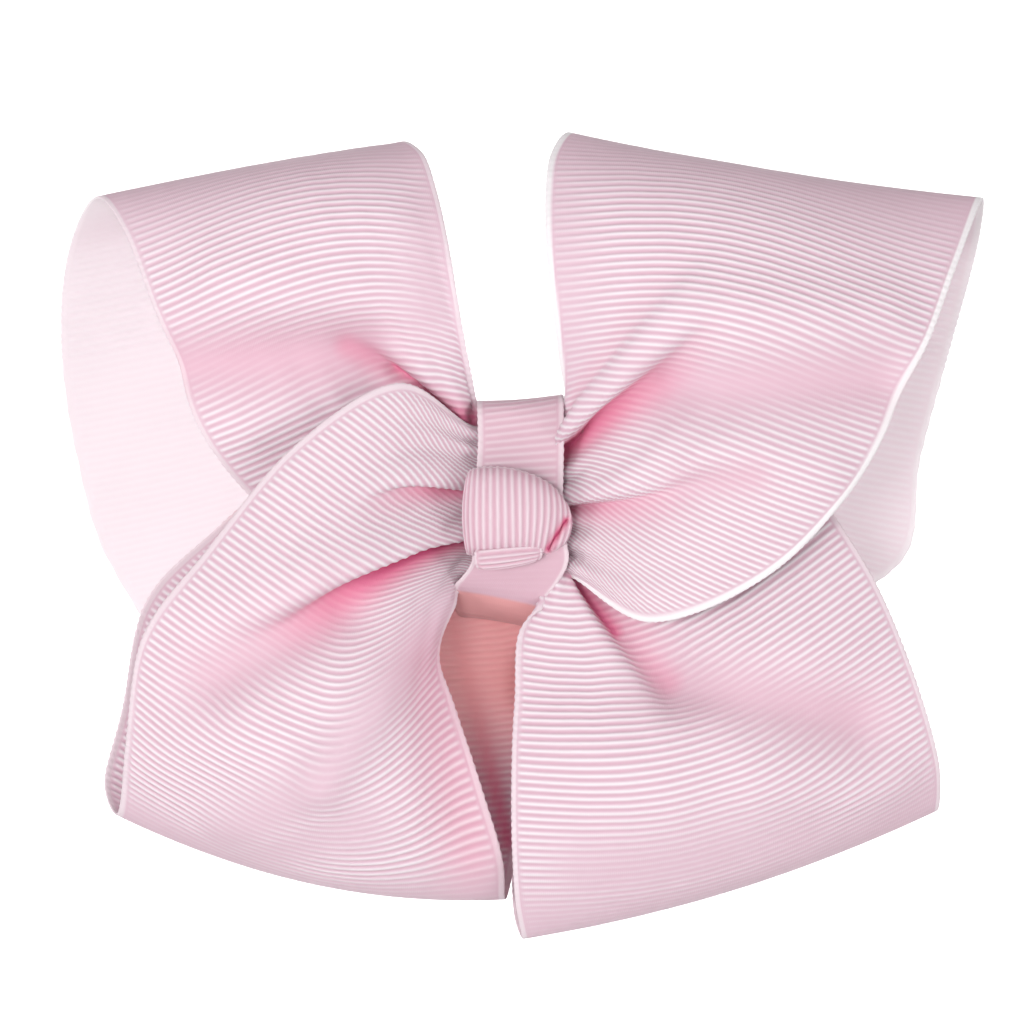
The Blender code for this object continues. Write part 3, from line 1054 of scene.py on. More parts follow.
def upper_right() -> WideLoop:
    """Sizes the upper right loop.

    Returns:
        The loop.
    """
    return WideLoop(
        node="upper_right_loop",
        inner=[
            (0.4, 17.6, 4.5), (8.0, 18.2, 5.2), (7.2, 27, 10.5), (5.9, 37, 14),
            (4.9, 47, 14), (4.9, 56, 11), (5.8, 62.5, 6.5), (8.8, 67.0, 0),
            (12, 64, -5.5), (14, 55, -8), (14, 45, -8.5), (13, 36, -7),
            (11, 27, -4.5), (7.5, 19.2, -2), (0.4, 17.6, -0.5),
        ],
        middle=[
            (0.4, 2.6, 4.5), (7.5, 3.2, 5.5), (18.5, 9.5, 13.5), (29, 21, 20),
            (37, 36, 22), (41.5, 49, 18), (44, 57.6, 9.5), (44.5, 60.2, 0.5),
            (44.8, 57, -7.5), (44, 47, -11.5), (41, 34, -12), (34, 21, -9.5),
            (22, 10.5, -5.5), (7.5, 3.2, -2), (0.4, 2.6, -0.5),
        ],
        outer=[
            (0.4, -12.4, 4.5), (8.2, -10.5, 6.5), (23, -18.4, 14.5), (43, -10.2, 17.5),
            (58.2, 6.1, 17), (68.8, 26, 15), (76, 43.5, 10), (81.6, 55.4, 0.5),
            (81.6, 47.2, -7), (77, 28.5, -11), (72.2, 10, -12.5), (68.6, -8.5, -12),
            (47, -18, -8), (20, -15, -3.5), (0.4, -12.4, -0.5),
        ],
        creases=[
            Crease(0.155, 0.50, 58, 5.5, spread=0.08, overhang=2.2, painted_shade=0.9),
            Crease(0.085, 0.44, 66, 1.6, spread=0.05, overhang=0.3, lip=Lip.OUTER, painted_shade=0.12),
            Crease(0.52, 0.74, 48, 2.6, spread=0.075, overhang=1.0, painted_shade=0.5),
        ],
        swells=[
            Swell((24, 21, 62, 23), 6.0, lift=-3.2, painted_shade=0.07, calm=0.85),
            Swell((30, 35, 62, 34), 6.0, lift=1.6),
            Swell((32, 11, 52, 8), 5.0, lift=1.4),
            Swell((6, 60, 6, 26), 8.0, calm=0.65),
            Swell((28, 5, 40, 6.5), 3.0, lift=-0.8, painted_shade=0.12, calm=0.5),
        ],
        inside_painted_light=0.75,
        weave=Weave(edge_width=1.3, selvedge_highlight=1.0),
        bend_calm=18.0,
        seed=22,
    )


def lower_left() -> WideLoop:
    """Sizes the lower left loop.

    Returns:
        The loop.
    """
    return WideLoop(
        node="lower_left_loop",
        inner=[
            (-0.4, -12.4, 4.5), (-10.6, -13.2, 5.4), (-13.3, -20.6, 9.5), (-10.2, -31, 12.5),
            (-7.2, -41, 14), (-4.7, -50, 12.5), (-2.4, -60, 8), (-2.0, -67.2, 0.5),
            (-0.5, -62, -5.5), (1.0, -52, -8.5), (3.0, -42, -8.5), (4.0, -31, -6.5),
            (3.5, -20.8, -4.2), (-9.5, -13.0, -2.4), (-0.4, -12.4, -0.5),
        ],
        middle=[
            (-0.4, 2.6, 4.5), (-7.5, 2.2, 5.5), (-19, -3, 13), (-28, -15, 19),
            (-33, -31, 22), (-35.5, -46, 20), (-36.5, -59, 11), (-36.6, -64.3, 1),
            (-37, -60, -8), (-37.5, -49, -12), (-37, -36, -11.5), (-32, -22, -8.5),
            (-22, -8.5, -4.5), (-7.5, 2.2, -2), (-0.4, 2.6, -0.5),
        ],
        outer=[
            (-0.4, 17.6, 4.5), (-7.5, 15.4, 6.2), (-20.5, 22.6, 14.5), (-38, 11.8, 17),
            (-53, -6, 16), (-64.2, -21, 14.5), (-67.4, -40, 10), (-70, -52.2, 0.5),
            (-73, -47, -5.5), (-70.2, -34.6, -8), (-66.3, -16.1, -8.5), (-55, -4, -6),
            (-34, 12, -3.5), (-7.5, 15.6, -2), (-0.4, 17.6, -0.5),
        ],
        creases=[
            Crease(0.55, 0.75, 36, 3.0, spread=0.06, overhang=1.4, lip=Lip.OUTER, painted_shade=0.8),
            Crease(0.22, 0.94, 80, 5.5, spread=0.08, overhang=2.0, lip=Lip.OUTER, painted_shade=1.15),
        ],
        swells=[
            Swell((-30, -16, -52, -28), 6.0, lift=-2.8, painted_shade=0.1, calm=0.75),
            Swell((-13, -16, -33, -45), 4.6, lift=2.4, calm=0.8),
            Swell((-33, -45, -51, -56), 6.0, lift=1.2, calm=0.8),
            Swell((-48, -36, -60, -40), 7.0, lift=1.2),
            Swell((-27, -53, -48, -60), 6.0, calm=0.7),
            Swell((-14, -26, -8, -58), 6.5, lift=-2.2, painted_shade=0.24),
            Swell((-12, -16, -1.6, -58), 1.5, painted_shade=0.7, rear=True),
        ],
        rear_warm_shade=0.8,
        swing=13.0,
        weave=Weave(edge_width=1.2),
        seed=33,
    )


def lower_right() -> WideLoop:
    """Sizes the lower right loop.

    Returns:
        The loop.
    """
    return WideLoop(
        node="lower_right_loop",
        inner=[
            (0.4, -12.4, 0.5), (5.0, -13.4, 6.6), (0.2, -20.5, 8.8), (-0.4, -32, 10.5),
            (-0.9, -44, 12.5), (-0.9, -56, 11), (-0.3, -67, 6.5), (0.9, -74.2, 0),
            (-0.6, -70.5, -6), (-1.0, -61, -10), (-0.5, -50, -11.5), (0, -39, -10.5),
            (-1.5, -27, -9.0), (9.5, -13.0, -5.5), (0.4, -12.4, -4.5),
        ],
        middle=[
            (0.4, 2.6, 0.5), (7.5, 1.5, 2.2), (18, -6, 5), (27, -19, 11),
            (33, -34, 18.5), (36.5, -49, 17), (38, -61, 9.5), (38, -65.6, 0),
            (38, -61.5, -8.5), (38, -50, -14), (36, -37, -15), (31, -23, -12.5),
            (21, -9, -7.5), (7.5, 1.5, -5), (0.4, 2.6, -4.5),
        ],
        outer=[
            (0.4, 17.6, 0.5), (7.5, 16.5, 2.2), (28, 19, 5), (46, 10, 8),
            (59.2, -7.2, 11), (67.5, -25.2, 11.5), (72.8, -42, 8), (73.8, -51.6, 0),
            (72.6, -46, -6.5), (70, -34, -11), (64.5, -20, -13), (55, -5, -13),
            (38, 9, -10.6), (18, 15, -6.6), (0.4, 17.6, -4.5),
        ],
        creases=[Crease(0.2, 0.44, 58, 4.5, spread=0.09, overhang=1.4, painted_shade=0.6)],
        swells=[
            Swell((9, -9, 17, -19.5), 2.0, painted_shade=0.9),
            Swell((17, -19.5, 25, -27), 3.0, painted_shade=0.35),
            Swell((26, -28, 58, -35), 6.5, lift=-3.4, painted_shade=0.08, calm=0.85),
            Swell((42, -46, 64, -46), 6.0, lift=1.4),
            Swell((8, -36, 24, -48), 7.0, lift=1.2),
            Swell((12, -62, 50, -56), 8.0, calm=0.75),
        ],
        rear_warm_shade=0.8,
        bend_calm=14.0,
        seed=44,
    )


# -------------------------------------------------------------------------- the middle


@dataclass
class Wrap:
    """The narrow ribbon round the gather and the clip's fixed arm.

    Attributes:
        weave: How it is woven.
        flat_width: Width of the ribbon laid flat, in mm. Not used.
        crown: How far its middle stands out beyond its selvedges, in mm.
        rise: How far the ribs climb for each mm to the right.
        rows: Rows of faces along it.
        left: Guide points along its left selvedge; the last ones lap over the first.
        right: Guide points along its right selvedge, one for each on the left.
    """

    weave: Weave = field(default_factory=lambda: Weave(0.34, 1.3, 0.1, 0.95, 26))
    flat_width: float = 16.0
    crown: float = 0.35
    rise: float = 0.09
    rows: int = 560
    left: list[Point] = field(
        default_factory=lambda: [
            (-7.2, 2, -11.35), (-7.2, 9, -11.35), (-7.2, 15.5, -10.6), (-7.1, 18.9, -8),
            (-7.0, 19.7, -3.5), (-7.0, 19.8, 1.5), (-6.95, 19.4, 5.8), (-6.9, 17.4, 8.1),
            (-6.8, 12.9, 8.4), (-7.0, 8, 8.5), (-7.2, 3, 8.6), (-7.4, -1.5, 9.2),
            (-7.6, -4.6, 9.8), (-7.7, -6.4, 10.3), (-7.9, -8.1, 10.2), (-8.6, -9.5, 9.8),
            (-9.8, -11.0, 9.0), (-10.9, -12.3, 7.8), (-11.2, -14.6, 4.5), (-10.4, -17.4, 0.5),
            (-8.8, -17.6, -4), (-7.6, -15, -8.6), (-7.2, -10.5, -11.4), (-7.2, -5, -11.9),
            (-7.2, 1, -11.95), (-7.2, 7.5, -11.95),
        ]
    )
    right: list[Point] = field(
        default_factory=lambda: [
            (7.2, 2, -11.35), (7.2, 9, -11.35), (7.3, 15.8, -10.6), (7.6, 19.6, -8),
            (7.8, 20.6, -3.5), (7.9, 20.9, 1.5), (8.0, 20.5, 5.8), (8.1, 18.3, 8.1),
            (8.1, 13.2, 8.5), (8.0, 7.5, 8.6), (7.9, 3, 8.7), (8.0, -1.0, 9.2),
            (8.3, -4.0, 9.7), (8.7, -5.6, 10.2), (8.9, -7.4, 10.2), (8.4, -9.4, 9.5),
            (7.0, -11.8, 8.2), (5.0, -14.9, 6.6), (4.6, -18.8, 3.8), (5.2, -20.4, 0),
            (6.4, -18.4, -4.5), (7.0, -15.2, -8.8), (7.2, -10.5, -11.5), (7.2, -5, -11.95),
            (7.2, 1, -12.0), (7.2, 7.5, -11.95),
        ]
    )

    def sheet(self) -> Sheet:
        """Lofts the wrap from its selvedges.

        Returns:
            Its middle surface.
        """
        fine = np.linspace(0, 1, 4000)
        line = (thread(self.left, fine) + thread(self.right, fine)) / 2
        t, run = even_places(line, self.rows)
        near = np.array([0, 0.25, 0.5, 0.8, 1.1, 1.5]) / 15
        between = np.linspace(near[-1], 1 - near[-1], self.weave.across + 1)[1:-1]
        v = np.concatenate([near, between, 1 - near[::-1]])[None, :, None]
        points = thread(self.left, t)[:, None] * (1 - v) + thread(self.right, t)[:, None] * v
        x, z, d = (points[..., k] for k in range(3))
        calm = 0.4 + 0.52 * (1 - smooth(-6.5, -4.5, z)) * (d > 2)
        sheet = Sheet(points, run[:, None] + self.rise * x, calm)
        # Painted shade, salmon in hue, on the part turned under the gather.
        turned_under = (d > -6) * (1 - smooth(-13.3, -12.7, z + 0.2 * (x + 10.6)))
        sheet.warm_shade = 0.8 * turned_under
        sheet.points = points - sheet.normals() * (self.crown * 4 * v * (1 - v))
        return sheet

    def build(self, finish: bpy.types.Material) -> bpy.types.Object:
        """Makes the wrap.

        Args:
            finish: Its material.

        Returns:
            The piece.
        """
        sheet = self.sheet()
        piece = ribbon_mesh("centre_wrap_ribbon", sheet, self.weave)
        settle(piece, finish, "wrap_ribbon", "centre_wrap")
        declare_sheet(piece, sheet)
        return piece


@dataclass
class Turn:
    """A short turn of the narrow ribbon, held by three lines of guide points.

    Attributes:
        name: The piece's name.
        top: Guide points along one selvedge.
        middle: Guide points along the middle of the ribbon.
        bottom: Guide points along the other selvedge.
        weave: How it is woven.
        curl: How far its selvedges curl in behind it, in mm.
        slit: A narrow slot where the ribbon folds under itself, with painted shade in it, if it
            has one.
        flat_width: Width of the ribbon laid flat, in mm. Not used.
        rows: Rows of faces along it.
    """

    name: str
    top: list[Point]
    middle: list[Point]
    bottom: list[Point]
    weave: Weave
    curl: float = 0.0
    slit: Swell | None = None
    flat_width: float = 16.0
    rows: int = 220

    def sheet(self) -> Sheet:
        """Lofts the turn from its three threads.

        Returns:
            Its middle surface.
        """
        places, run = even_places(thread(self.middle, np.linspace(0, 1, 2000)), self.rows)
        columns = 0.5 - 0.5 * np.cos(np.linspace(0, np.pi, self.weave.across + 13))
        v, t = np.meshgrid(columns, places)
        points = surface((self.top, self.middle, self.bottom), t, v)
        rim = np.abs(2 * v - 1) ** 9
        points[..., 2] -= self.curl * rim * smooth(9.0, 13.0, points[..., 2])
        sheet = Sheet(points, np.repeat(run[:, None], len(columns), 1))
        if self.slit:
            share = self.slit.share(points[..., 0], points[..., 1]) * (points[..., 2] > 10)
            points[..., 2] += self.slit.lift * share
            # Painted shade in the slit.
            sheet.fold = np.minimum(1.0, 1.3 * share) * self.slit.painted_shade
        return sheet

    def build(self, finish: bpy.types.Material, *stands_for: str) -> bpy.types.Object:
        """Makes the turn.

        Args:
            finish: Its material.
            stands_for: The CAD nodes that it replaces.

        Returns:
            The piece.
        """
        sheet = self.sheet()
        piece = ribbon_mesh(self.name, sheet, self.weave)
        settle(piece, finish, "wrap_ribbon", *stands_for)
        declare_sheet(piece, sheet)
        return piece


def knot_turn() -> Turn:
    """Sizes the knot's front turn, which crosses from side to side.

    Returns:
        The turn.
    """
    return Turn(
        "centre_knot_turn",
        top=[
            (-5.5, 7.0, 8.9), (-8.2, 7.1, 10.4), (-7.4, 7.9, 12.9), (-4.4, 8.2, 14.2),
            (-0.6, 7.8, 14.5), (3.3, 6.5, 14.1), (6.4, 4.5, 12.9), (8.7, 1.2, 10.9),
            (7.8, 0.4, 9.2),
        ],
        middle=[
            (-6.0, 0.5, 8.9), (-9.2, 0.5, 11.0), (-7.9, 0.6, 14.3), (-4.4, 0.8, 15.9),
            (-0.4, 0.8, 16.2), (3.6, 0.3, 15.6), (7.0, -0.7, 13.8), (9.2, -1.8, 11.2),
            (7.6, -1.9, 9.2),
        ],
        bottom=[
            (-5.5, -6.0, 8.9), (-8.4, -6.6, 10.6), (-7.5, -6.9, 12.7), (-4.4, -6.6, 13.8),
            (-0.3, -6.2, 14.0), (3.0, -6.4, 13.5), (5.4, -6.6, 12.4), (8.1, -5.0, 10.9),
            (7.2, -4.4, 9.2),
        ],
        weave=Weave(0.4, 1.26, 0.14, 0.9, 30),
        curl=2.6,
        slit=Swell((8.3, -0.9, 5.3, -5.7), 0.62, lift=-1.5, painted_shade=1.0),
    )


def knot_lip() -> Turn:
    """Sizes the ribbon's tail, rolled out under the knot with its ribs level.

    Returns:
        The turn.
    """
    return Turn(
        "centre_knot_lip",
        top=[
            (-6.2, -1.4, 10.6), (-6.4, -3.4, 10.9), (-7.0, -5.4, 12.3), (-7.35, -7.0, 13.2),
            (-7.1, -8.7, 12.6), (-6.5, -9.0, 11.3), (-6.0, -7.5, 11.0),
        ],
        middle=[
            (-1.4, -0.9, 11.4), (-1.5, -2.8, 11.8), (-1.5, -4.9, 12.9), (-1.6, -6.4, 13.9),
            (-1.6, -8.2, 13.2), (-1.5, -8.7, 11.6), (-1.5, -7.2, 11.1),
        ],
        bottom=[
            (3.3, -0.6, 11.0), (3.6, -2.4, 11.2), (4.0, -4.5, 12.2), (4.3, -5.9, 12.9),
            (4.2, -7.0, 12.1), (3.8, -7.4, 11.1), (3.4, -6.4, 10.9),
        ],
        weave=Weave(0.34, 0.95, 0.24, 0.5, 26),
        flat_width=11.5,
    )


# --------------------------------------------------------------- thread, glue and clip


def tube(
    name: str, path: np.ndarray, radius: float, plies: int = 0, lay: float = 1.0
) -> bpy.types.Object:
    """Makes a round wire or a plied thread, closed at its ends. It has no body yet.

    Args:
        name: The piece's name.
        path: Points (x, z, d) along its middle, in mm.
        radius: Its radius, in mm.
        plies: How many yarns it is twisted from, or 0 for a plain wire.
        lay: The length of one full twist of the yarns, in mm.

    Returns:
        The piece.
    """
    sides = 14
    places = in_frame(path)
    ahead = unit(np.gradient(places, axis=0))
    side = np.cross(ahead[0], (0.3, 0.9, 0.2))
    turn = np.linspace(0, 2 * np.pi, sides, endpoint=False)
    rings = []
    for place, axis, length in zip(places, ahead, arc_length(places)):
        side = side - axis * (side @ axis)
        side /= np.linalg.norm(side)
        other = np.cross(axis, side)
        swell = np.ones(sides)
        if plies:
            swell = 0.72 + 0.28 * np.abs(np.cos(plies / 2 * (turn - 2 * np.pi * length / lay)))
        spokes = np.cos(turn)[:, None] * side + np.sin(turn)[:, None] * other
        rings.append(place + radius * swell[:, None] * spokes)
    points = np.concatenate(rings) * MM
    faces = []
    for i in range(len(rings) - 1):
        for j in range(sides):
            k = (j + 1) % sides
            faces.append((i * sides + j, i * sides + k, (i + 1) * sides + k, (i + 1) * sides + j))
    faces.append(tuple(range(sides))[::-1])
    faces.append(tuple(range((len(rings) - 1) * sides, len(rings) * sides)))
    mesh = bpy.data.meshes.new(name)
    mesh.from_pydata(points.tolist(), [], faces)
    mesh.shade_smooth()
    return add_object(name, mesh)


@dataclass
class GatheringThread:
    """The sewing thread, wound round the gathered loops. Sizes in mm.

    Attributes:
        diameter: Of the thread.
        turns: How often it goes round.
        pitch: From one turn to the next.
        half_height: Half the height of a turn.
        half_depth: Half its depth.
        middle_z: z of its middle.
        squareness: The power of its superellipse.
    """

    diameter: float = 0.5
    turns: int = 3
    pitch: float = 0.9
    half_height: float = 16.7
    half_depth: float = 6.3
    middle_z: float = 2.6
    squareness: int = 6

    def build(self, finish: bpy.types.Material) -> bpy.types.Object:
        """Makes the thread.

        Args:
            finish: Its material.

        Returns:
            The piece.
        """
        angle = np.linspace(0, 2 * np.pi * self.turns, 260 * self.turns)
        c, s = np.cos(angle), np.sin(angle)
        power = 2 / self.squareness
        z = self.middle_z + self.half_height * np.sign(c) * np.abs(c) ** power
        d = self.half_depth * np.sign(s) * np.abs(s) ** power
        x = (angle / (2 * np.pi) - self.turns / 2) * self.pitch
        path = np.stack([x, z, d], axis=1)
        run = arc_length(path)
        even = np.linspace(0, run[-1], 300 * self.turns)
        path = np.stack([np.interp(even, run, path[:, k]) for k in range(3)], axis=1)
        piece = tube("gathering_thread_wound", path, self.diameter / 2, plies=2, lay=1.6)
        settle(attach(piece, BOW), finish, "thread", "gathering_thread")
        LOG.info("%s: %.0f mm of thread", piece.name, run[-1])
        return piece


@dataclass
class GlueBlob:
    """Hot glue squeezed out between the gather and the clip's fixed arm. Sizes in mm.

    Attributes:
        length: Along the clip.
        thickness: From front to back.
        height: Across the clip.
        depth: d of its middle.
    """

    length: float = 13.4
    thickness: float = 2.6
    height: float = 8.6
    depth: float = -8.35

    def build(self, finish: bpy.types.Material) -> bpy.types.Object:
        """Makes the blob.

        Args:
            finish: Its material.

        Returns:
            The piece.
        """
        bpy.ops.object.select_all(action="DESELECT")
        bpy.ops.mesh.primitive_uv_sphere_add(segments=64, ring_count=32, radius=1.0)
        piece = bpy.context.object
        piece.name = piece.data.name = "glue_pad_blob"
        draw = np.random.default_rng(5)
        shifts = draw.uniform(0, 2 * np.pi, 3)
        for vert in piece.data.vertices:
            x, y, z = vert.co
            around = math.atan2(z, x)
            waves = [math.sin(k * around + shift) for k, shift in zip((3, 5, 8), shifts)]
            wide = 1 + 0.035 * waves[0] + 0.02 * waves[1] + 0.012 * waves[2]
            flat = math.copysign(abs(y) ** 0.45, y)
            x = math.copysign(abs(x) ** 0.8, x) * self.length / 2 * wide
            z = math.copysign(abs(z) ** 0.8, z) * self.height / 2 * wide
            vert.co = at(x, z, self.depth + flat * self.thickness / 2)
        bpy.ops.object.mode_set(mode="EDIT")
        bpy.ops.mesh.select_all(action="SELECT")
        bpy.ops.mesh.normals_make_consistent(inside=False)
        bpy.ops.object.mode_set(mode="OBJECT")
        piece.data.shade_smooth()
        settle(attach(piece, BOW), finish, "glue", "glue_pad")
        return piece


@dataclass
class Spring:
    """The torsion spring round the hinge pin. Sizes in mm.

    Attributes:
        wire: Diameter of the wire.
        radius: Of the coil, to the wire's middle.
        turns: Full turns of the coil.
        pitch: From one turn to the next.
        start: Where the coil starts, in degrees.
        end: Where it ends, in degrees.
    """

    wire: float = 0.6
    radius: float = 1.45
    turns: int = 3
    pitch: float = 0.75
    start: float = 90.0
    end: float = -112.0

    def build(self, finish: bpy.types.Material) -> bpy.types.Object:
        """Makes the spring; each of its legs lies along the arm that it presses on.

        Args:
            finish: Its material.

        Returns:
            The piece.
        """
        half = self.turns * self.pitch / 2
        start, end = math.radians(self.start), math.radians(self.end)
        angle = np.linspace(start, start + 2 * np.pi * self.turns + start - end, 60 * self.turns)
        rise = np.linspace(-half, half, len(angle))
        x = PIVOT_X + self.radius * np.cos(angle)
        d = PIVOT_DEPTH + self.radius * np.sin(angle)
        coil = np.stack([x, rise, d], axis=1)
        fixed = [(21.0, -half, PIVOT_DEPTH + 2.2), (16.5, -half, PIVOT_DEPTH + 1.9)]
        moving = (19.6, half, PIVOT_DEPTH - 4.3)
        legs = [np.linspace(fixed[0], fixed[1], 8)[:-1], np.linspace(fixed[1], coil[0], 8)[:-1]]
        path = np.concatenate([*legs, coil, np.linspace(coil[-1], moving, 12)[1:]])
        piece = tube("clip_spring_wire", path, self.wire / 2)
        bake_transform(piece)
        settle(piece, finish, "spring_wire", "clip_spring")
        return piece


@dataclass
class Arm:
    """One arm of the clip, pressed from sheet steel. Sizes in mm.

    Attributes:
        node: The CAD node that it stands for.
        body: The CAD body that it rides on.
        line: (x, d, half width) of each station, from the jaw's tip to the lever's end.
        ears: The first and the last x of its ears.
        ear_end: d of the ears' far edge.
        toward: 1 if its teeth point to larger d, and -1 if they point to smaller d.
        panel: The first and the last x of the panel pressed into its lever.
        sheet: Thickness of its steel.
        hole: Radius of the pin's hole.
        teeth: How many teeth its tip has.
        tooth: How far a tooth stands out.
    """

    node: str
    body: str
    line: list[Point]
    ears: tuple[float, float]
    ear_end: float
    toward: int
    panel: tuple[float, float] = (19.0, 26.5)
    sheet: float = 0.8
    hole: float = 0.95
    teeth: int = 6
    tooth: float = 0.45

    def pick(self, mesh: bpy.types.Mesh, kind: str, chosen: Callable[..., bool]) -> None:
        """Selects the open mesh's verts, edges or faces whose middle passes a test.

        Args:
            mesh: The mesh, open in edit mode.
            kind: "verts", "edges" or "faces".
            chosen: The test, on the middle's (x, y, z) in mm.
        """
        bpy.ops.mesh.select_all(action="DESELECT")
        bm = bmesh.from_edit_mesh(mesh)
        for item in getattr(bm, kind):
            corners = [item.co] if kind == "verts" else [v.co for v in item.verts]
            if chosen(*(sum(corners, Vector()) / len(corners) / MM)):
                item.select_set(True)
        bm.select_flush_mode()
        bmesh.update_edit_mesh(mesh)

    def left_over(self, mesh: bpy.types.Mesh) -> float:
        """Measures how far what is selected still is from the ears' far edge.

        Args:
            mesh: The mesh, open in edit mode.

        Returns:
            The distance along y, in metres.
        """
        chosen = next(v for v in bmesh.from_edit_mesh(mesh).verts if v.select)
        return (GRIP_DEPTH - self.ear_end) * MM - chosen.co.y

    def draw_strip(self, mesh: bpy.types.Mesh) -> None:
        """Draws the open plane's edge out into the arm's strip, station by station.

        Args:
            mesh: The mesh, open in edit mode.
        """
        self.pick(mesh, "verts", lambda x, y, z: x < 0)
        bpy.ops.mesh.delete(type="VERT")
        bpy.ops.mesh.select_all(action="SELECT")
        x, d, wide = self.line[0]
        origin = (0, 0, 0)
        bpy.ops.transform.rotate(value=math.pi / 2, orient_axis="X", center_override=origin)
        bpy.ops.transform.resize(value=(1, 1, 2 * wide * MM), center_override=origin)
        bpy.ops.transform.translate(value=at(x, 0, d) - Vector((0.5, 0, 0)))
        for (x, d, wide), (x2, d2, wide2) in zip(self.line, self.line[1:]):
            self.extrude(at(x2, 0, d2) - at(x, 0, d))
            bpy.ops.transform.resize(value=(1, 1, wide2 / wide))

    def extrude(self, step: Vector | tuple[float, float, float]) -> None:
        """Extrudes what is selected.

        Args:
            step: How far, in metres.
        """
        bpy.ops.mesh.extrude_region_move(TRANSFORM_OT_translate={"value": step})

    def fold_ears(self, mesh: bpy.types.Mesh) -> None:
        """Folds an ear for the hinge pin out of each side of the strip.

        Args:
            mesh: The mesh, open in edit mode.
        """
        low, high = self.ears
        for side in (-1, 1):
            self.pick(mesh, "edges", lambda x, y, z: low < x < high and z * side > 1)
            reach = self.left_over(mesh)
            for share in (0.6, 0.4):
                self.extrude((0, reach * share, 0))
            bpy.ops.transform.resize(value=(0.55, 0, 1))
            bpy.ops.transform.translate(value=(0, self.left_over(mesh), 0))

    def press_panel(self, mesh: bpy.types.Mesh) -> None:
        """Presses a panel into the lever.

        Args:
            mesh: The mesh, open in edit mode.
        """
        first, last = self.panel
        self.pick(mesh, "faces", lambda x, y, z: first < x < last and abs(z) < 1)
        bpy.ops.mesh.inset(thickness=1.1 * MM, depth=0.0)
        bpy.ops.transform.translate(value=(0, -self.toward * 0.45 * MM, 0))

    def cut_teeth(self, mesh: bpy.types.Mesh) -> None:
        """Draws every second point of the tip out into a tooth.

        Args:
            mesh: The mesh, open in edit mode.
        """
        tip, _, wide = self.line[0]
        gap = wide / self.teeth
        self.pick(mesh, "edges", lambda x, y, z: abs(x - tip) < 0.05)
        bpy.ops.mesh.subdivide(number_cuts=2 * self.teeth - 1)

        def is_tooth(x: float, y: float, z: float) -> bool:
            """Tells whether a point of the tip belongs to a tooth."""
            return abs(x - tip) < 0.05 and round(z / gap + self.teeth) % 2 == 1

        self.pick(mesh, "verts", is_tooth)
        bpy.ops.transform.translate(value=(-self.tooth * MM, -self.toward * self.tooth * MM, 0))

    def modify(self, piece: bpy.types.Object, kind: str, **settings: object) -> None:
        """Adds a modifier and applies it.

        Args:
            piece: The piece, which is the active object.
            kind: The modifier's type.
            settings: Its attributes.
        """
        modifier = piece.modifiers.new(kind.lower(), kind)
        for name, value in settings.items():
            setattr(modifier, name, value)
        bpy.ops.object.modifier_apply(modifier=modifier.name)

    def build(self, finish: bpy.types.Material) -> bpy.types.Object:
        """Makes the arm.

        Args:
            finish: Its material.

        Returns:
            The piece.
        """
        bpy.ops.object.select_all(action="DESELECT")
        bpy.ops.mesh.primitive_cylinder_add(vertices=40, radius=self.hole * MM, depth=14 * MM)
        drill = bpy.context.object
        drill.location = at(PIVOT_X, 0, PIVOT_DEPTH)
        bpy.ops.object.select_all(action="DESELECT")
        bpy.ops.mesh.primitive_plane_add(size=1)
        piece = bpy.context.object
        piece.name = piece.data.name = self.node + "_steel"
        bpy.ops.object.mode_set(mode="EDIT")
        for shape in (self.draw_strip, self.fold_ears, self.press_panel, self.cut_teeth):
            shape(piece.data)
        bpy.ops.mesh.select_all(action="SELECT")
        bpy.ops.mesh.normals_make_consistent(inside=False)
        bpy.ops.object.mode_set(mode="OBJECT")
        self.modify(piece, "SOLIDIFY", thickness=self.sheet * MM, offset=0.0, use_even_offset=True)
        self.modify(piece, "BEVEL", width=0.16 * MM, segments=3, limit_method="ANGLE")
        self.modify(piece, "BOOLEAN", operation="DIFFERENCE", object=drill, solver="EXACT")
        bpy.data.objects.remove(drill)
        settle(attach(piece, self.body), finish, "clip_steel", self.node)
        return piece


def fixed_arm() -> Arm:
    """Sizes the arm that the wrap goes round.

    Returns:
        The arm.
    """
    return Arm(
        "clip_fixed_arm",
        BOW,
        line=[
            (-24.6, -10.4, 1.8), (-24.0, -10.4, 2.8), (-22.6, -10.4, 3.5), (-20, -10.4, 3.6),
            (-8, -10.4, 3.6), (9.4, -10.4, 3.6), (14.6, -10.4, 3.6), (17, -10.4, 3.8),
            (20, -10.3, 4.6), (26, -10, 4.6), (27.6, -9.9, 3.6), (28.2, -9.9, 2.0),
        ],
        ears=(9.4, 14.6),
        ear_end=-15.3,
        toward=-1,
    )


def jaw_arm() -> Arm:
    """Sizes the arm that opens when its lever is pressed.

    Returns:
        The arm.
    """
    return Arm(
        "clip_jaw_arm",
        JAW,
        line=[
            (-24.4, -11.6, 2.6), (-24.1, -12.6, 2.9), (-22.6, -12.9, 3.3), (-20, -12.9, 3.4),
            (-7, -13.1, 3.4), (7, -14.6, 3.4), (9.8, -15.6, 2.7), (14.2, -16.8, 2.7),
            (17, -18.1, 3.4), (20, -19.6, 4.4), (26, -22.6, 4.4), (27.4, -23.3, 3.4),
            (27.9, -23.6, 1.9),
        ],
        ears=(9.8, 14.2),
        ear_end=-12.0,
        toward=1,
    )


# ------------------------------------------------------------------------- the studio


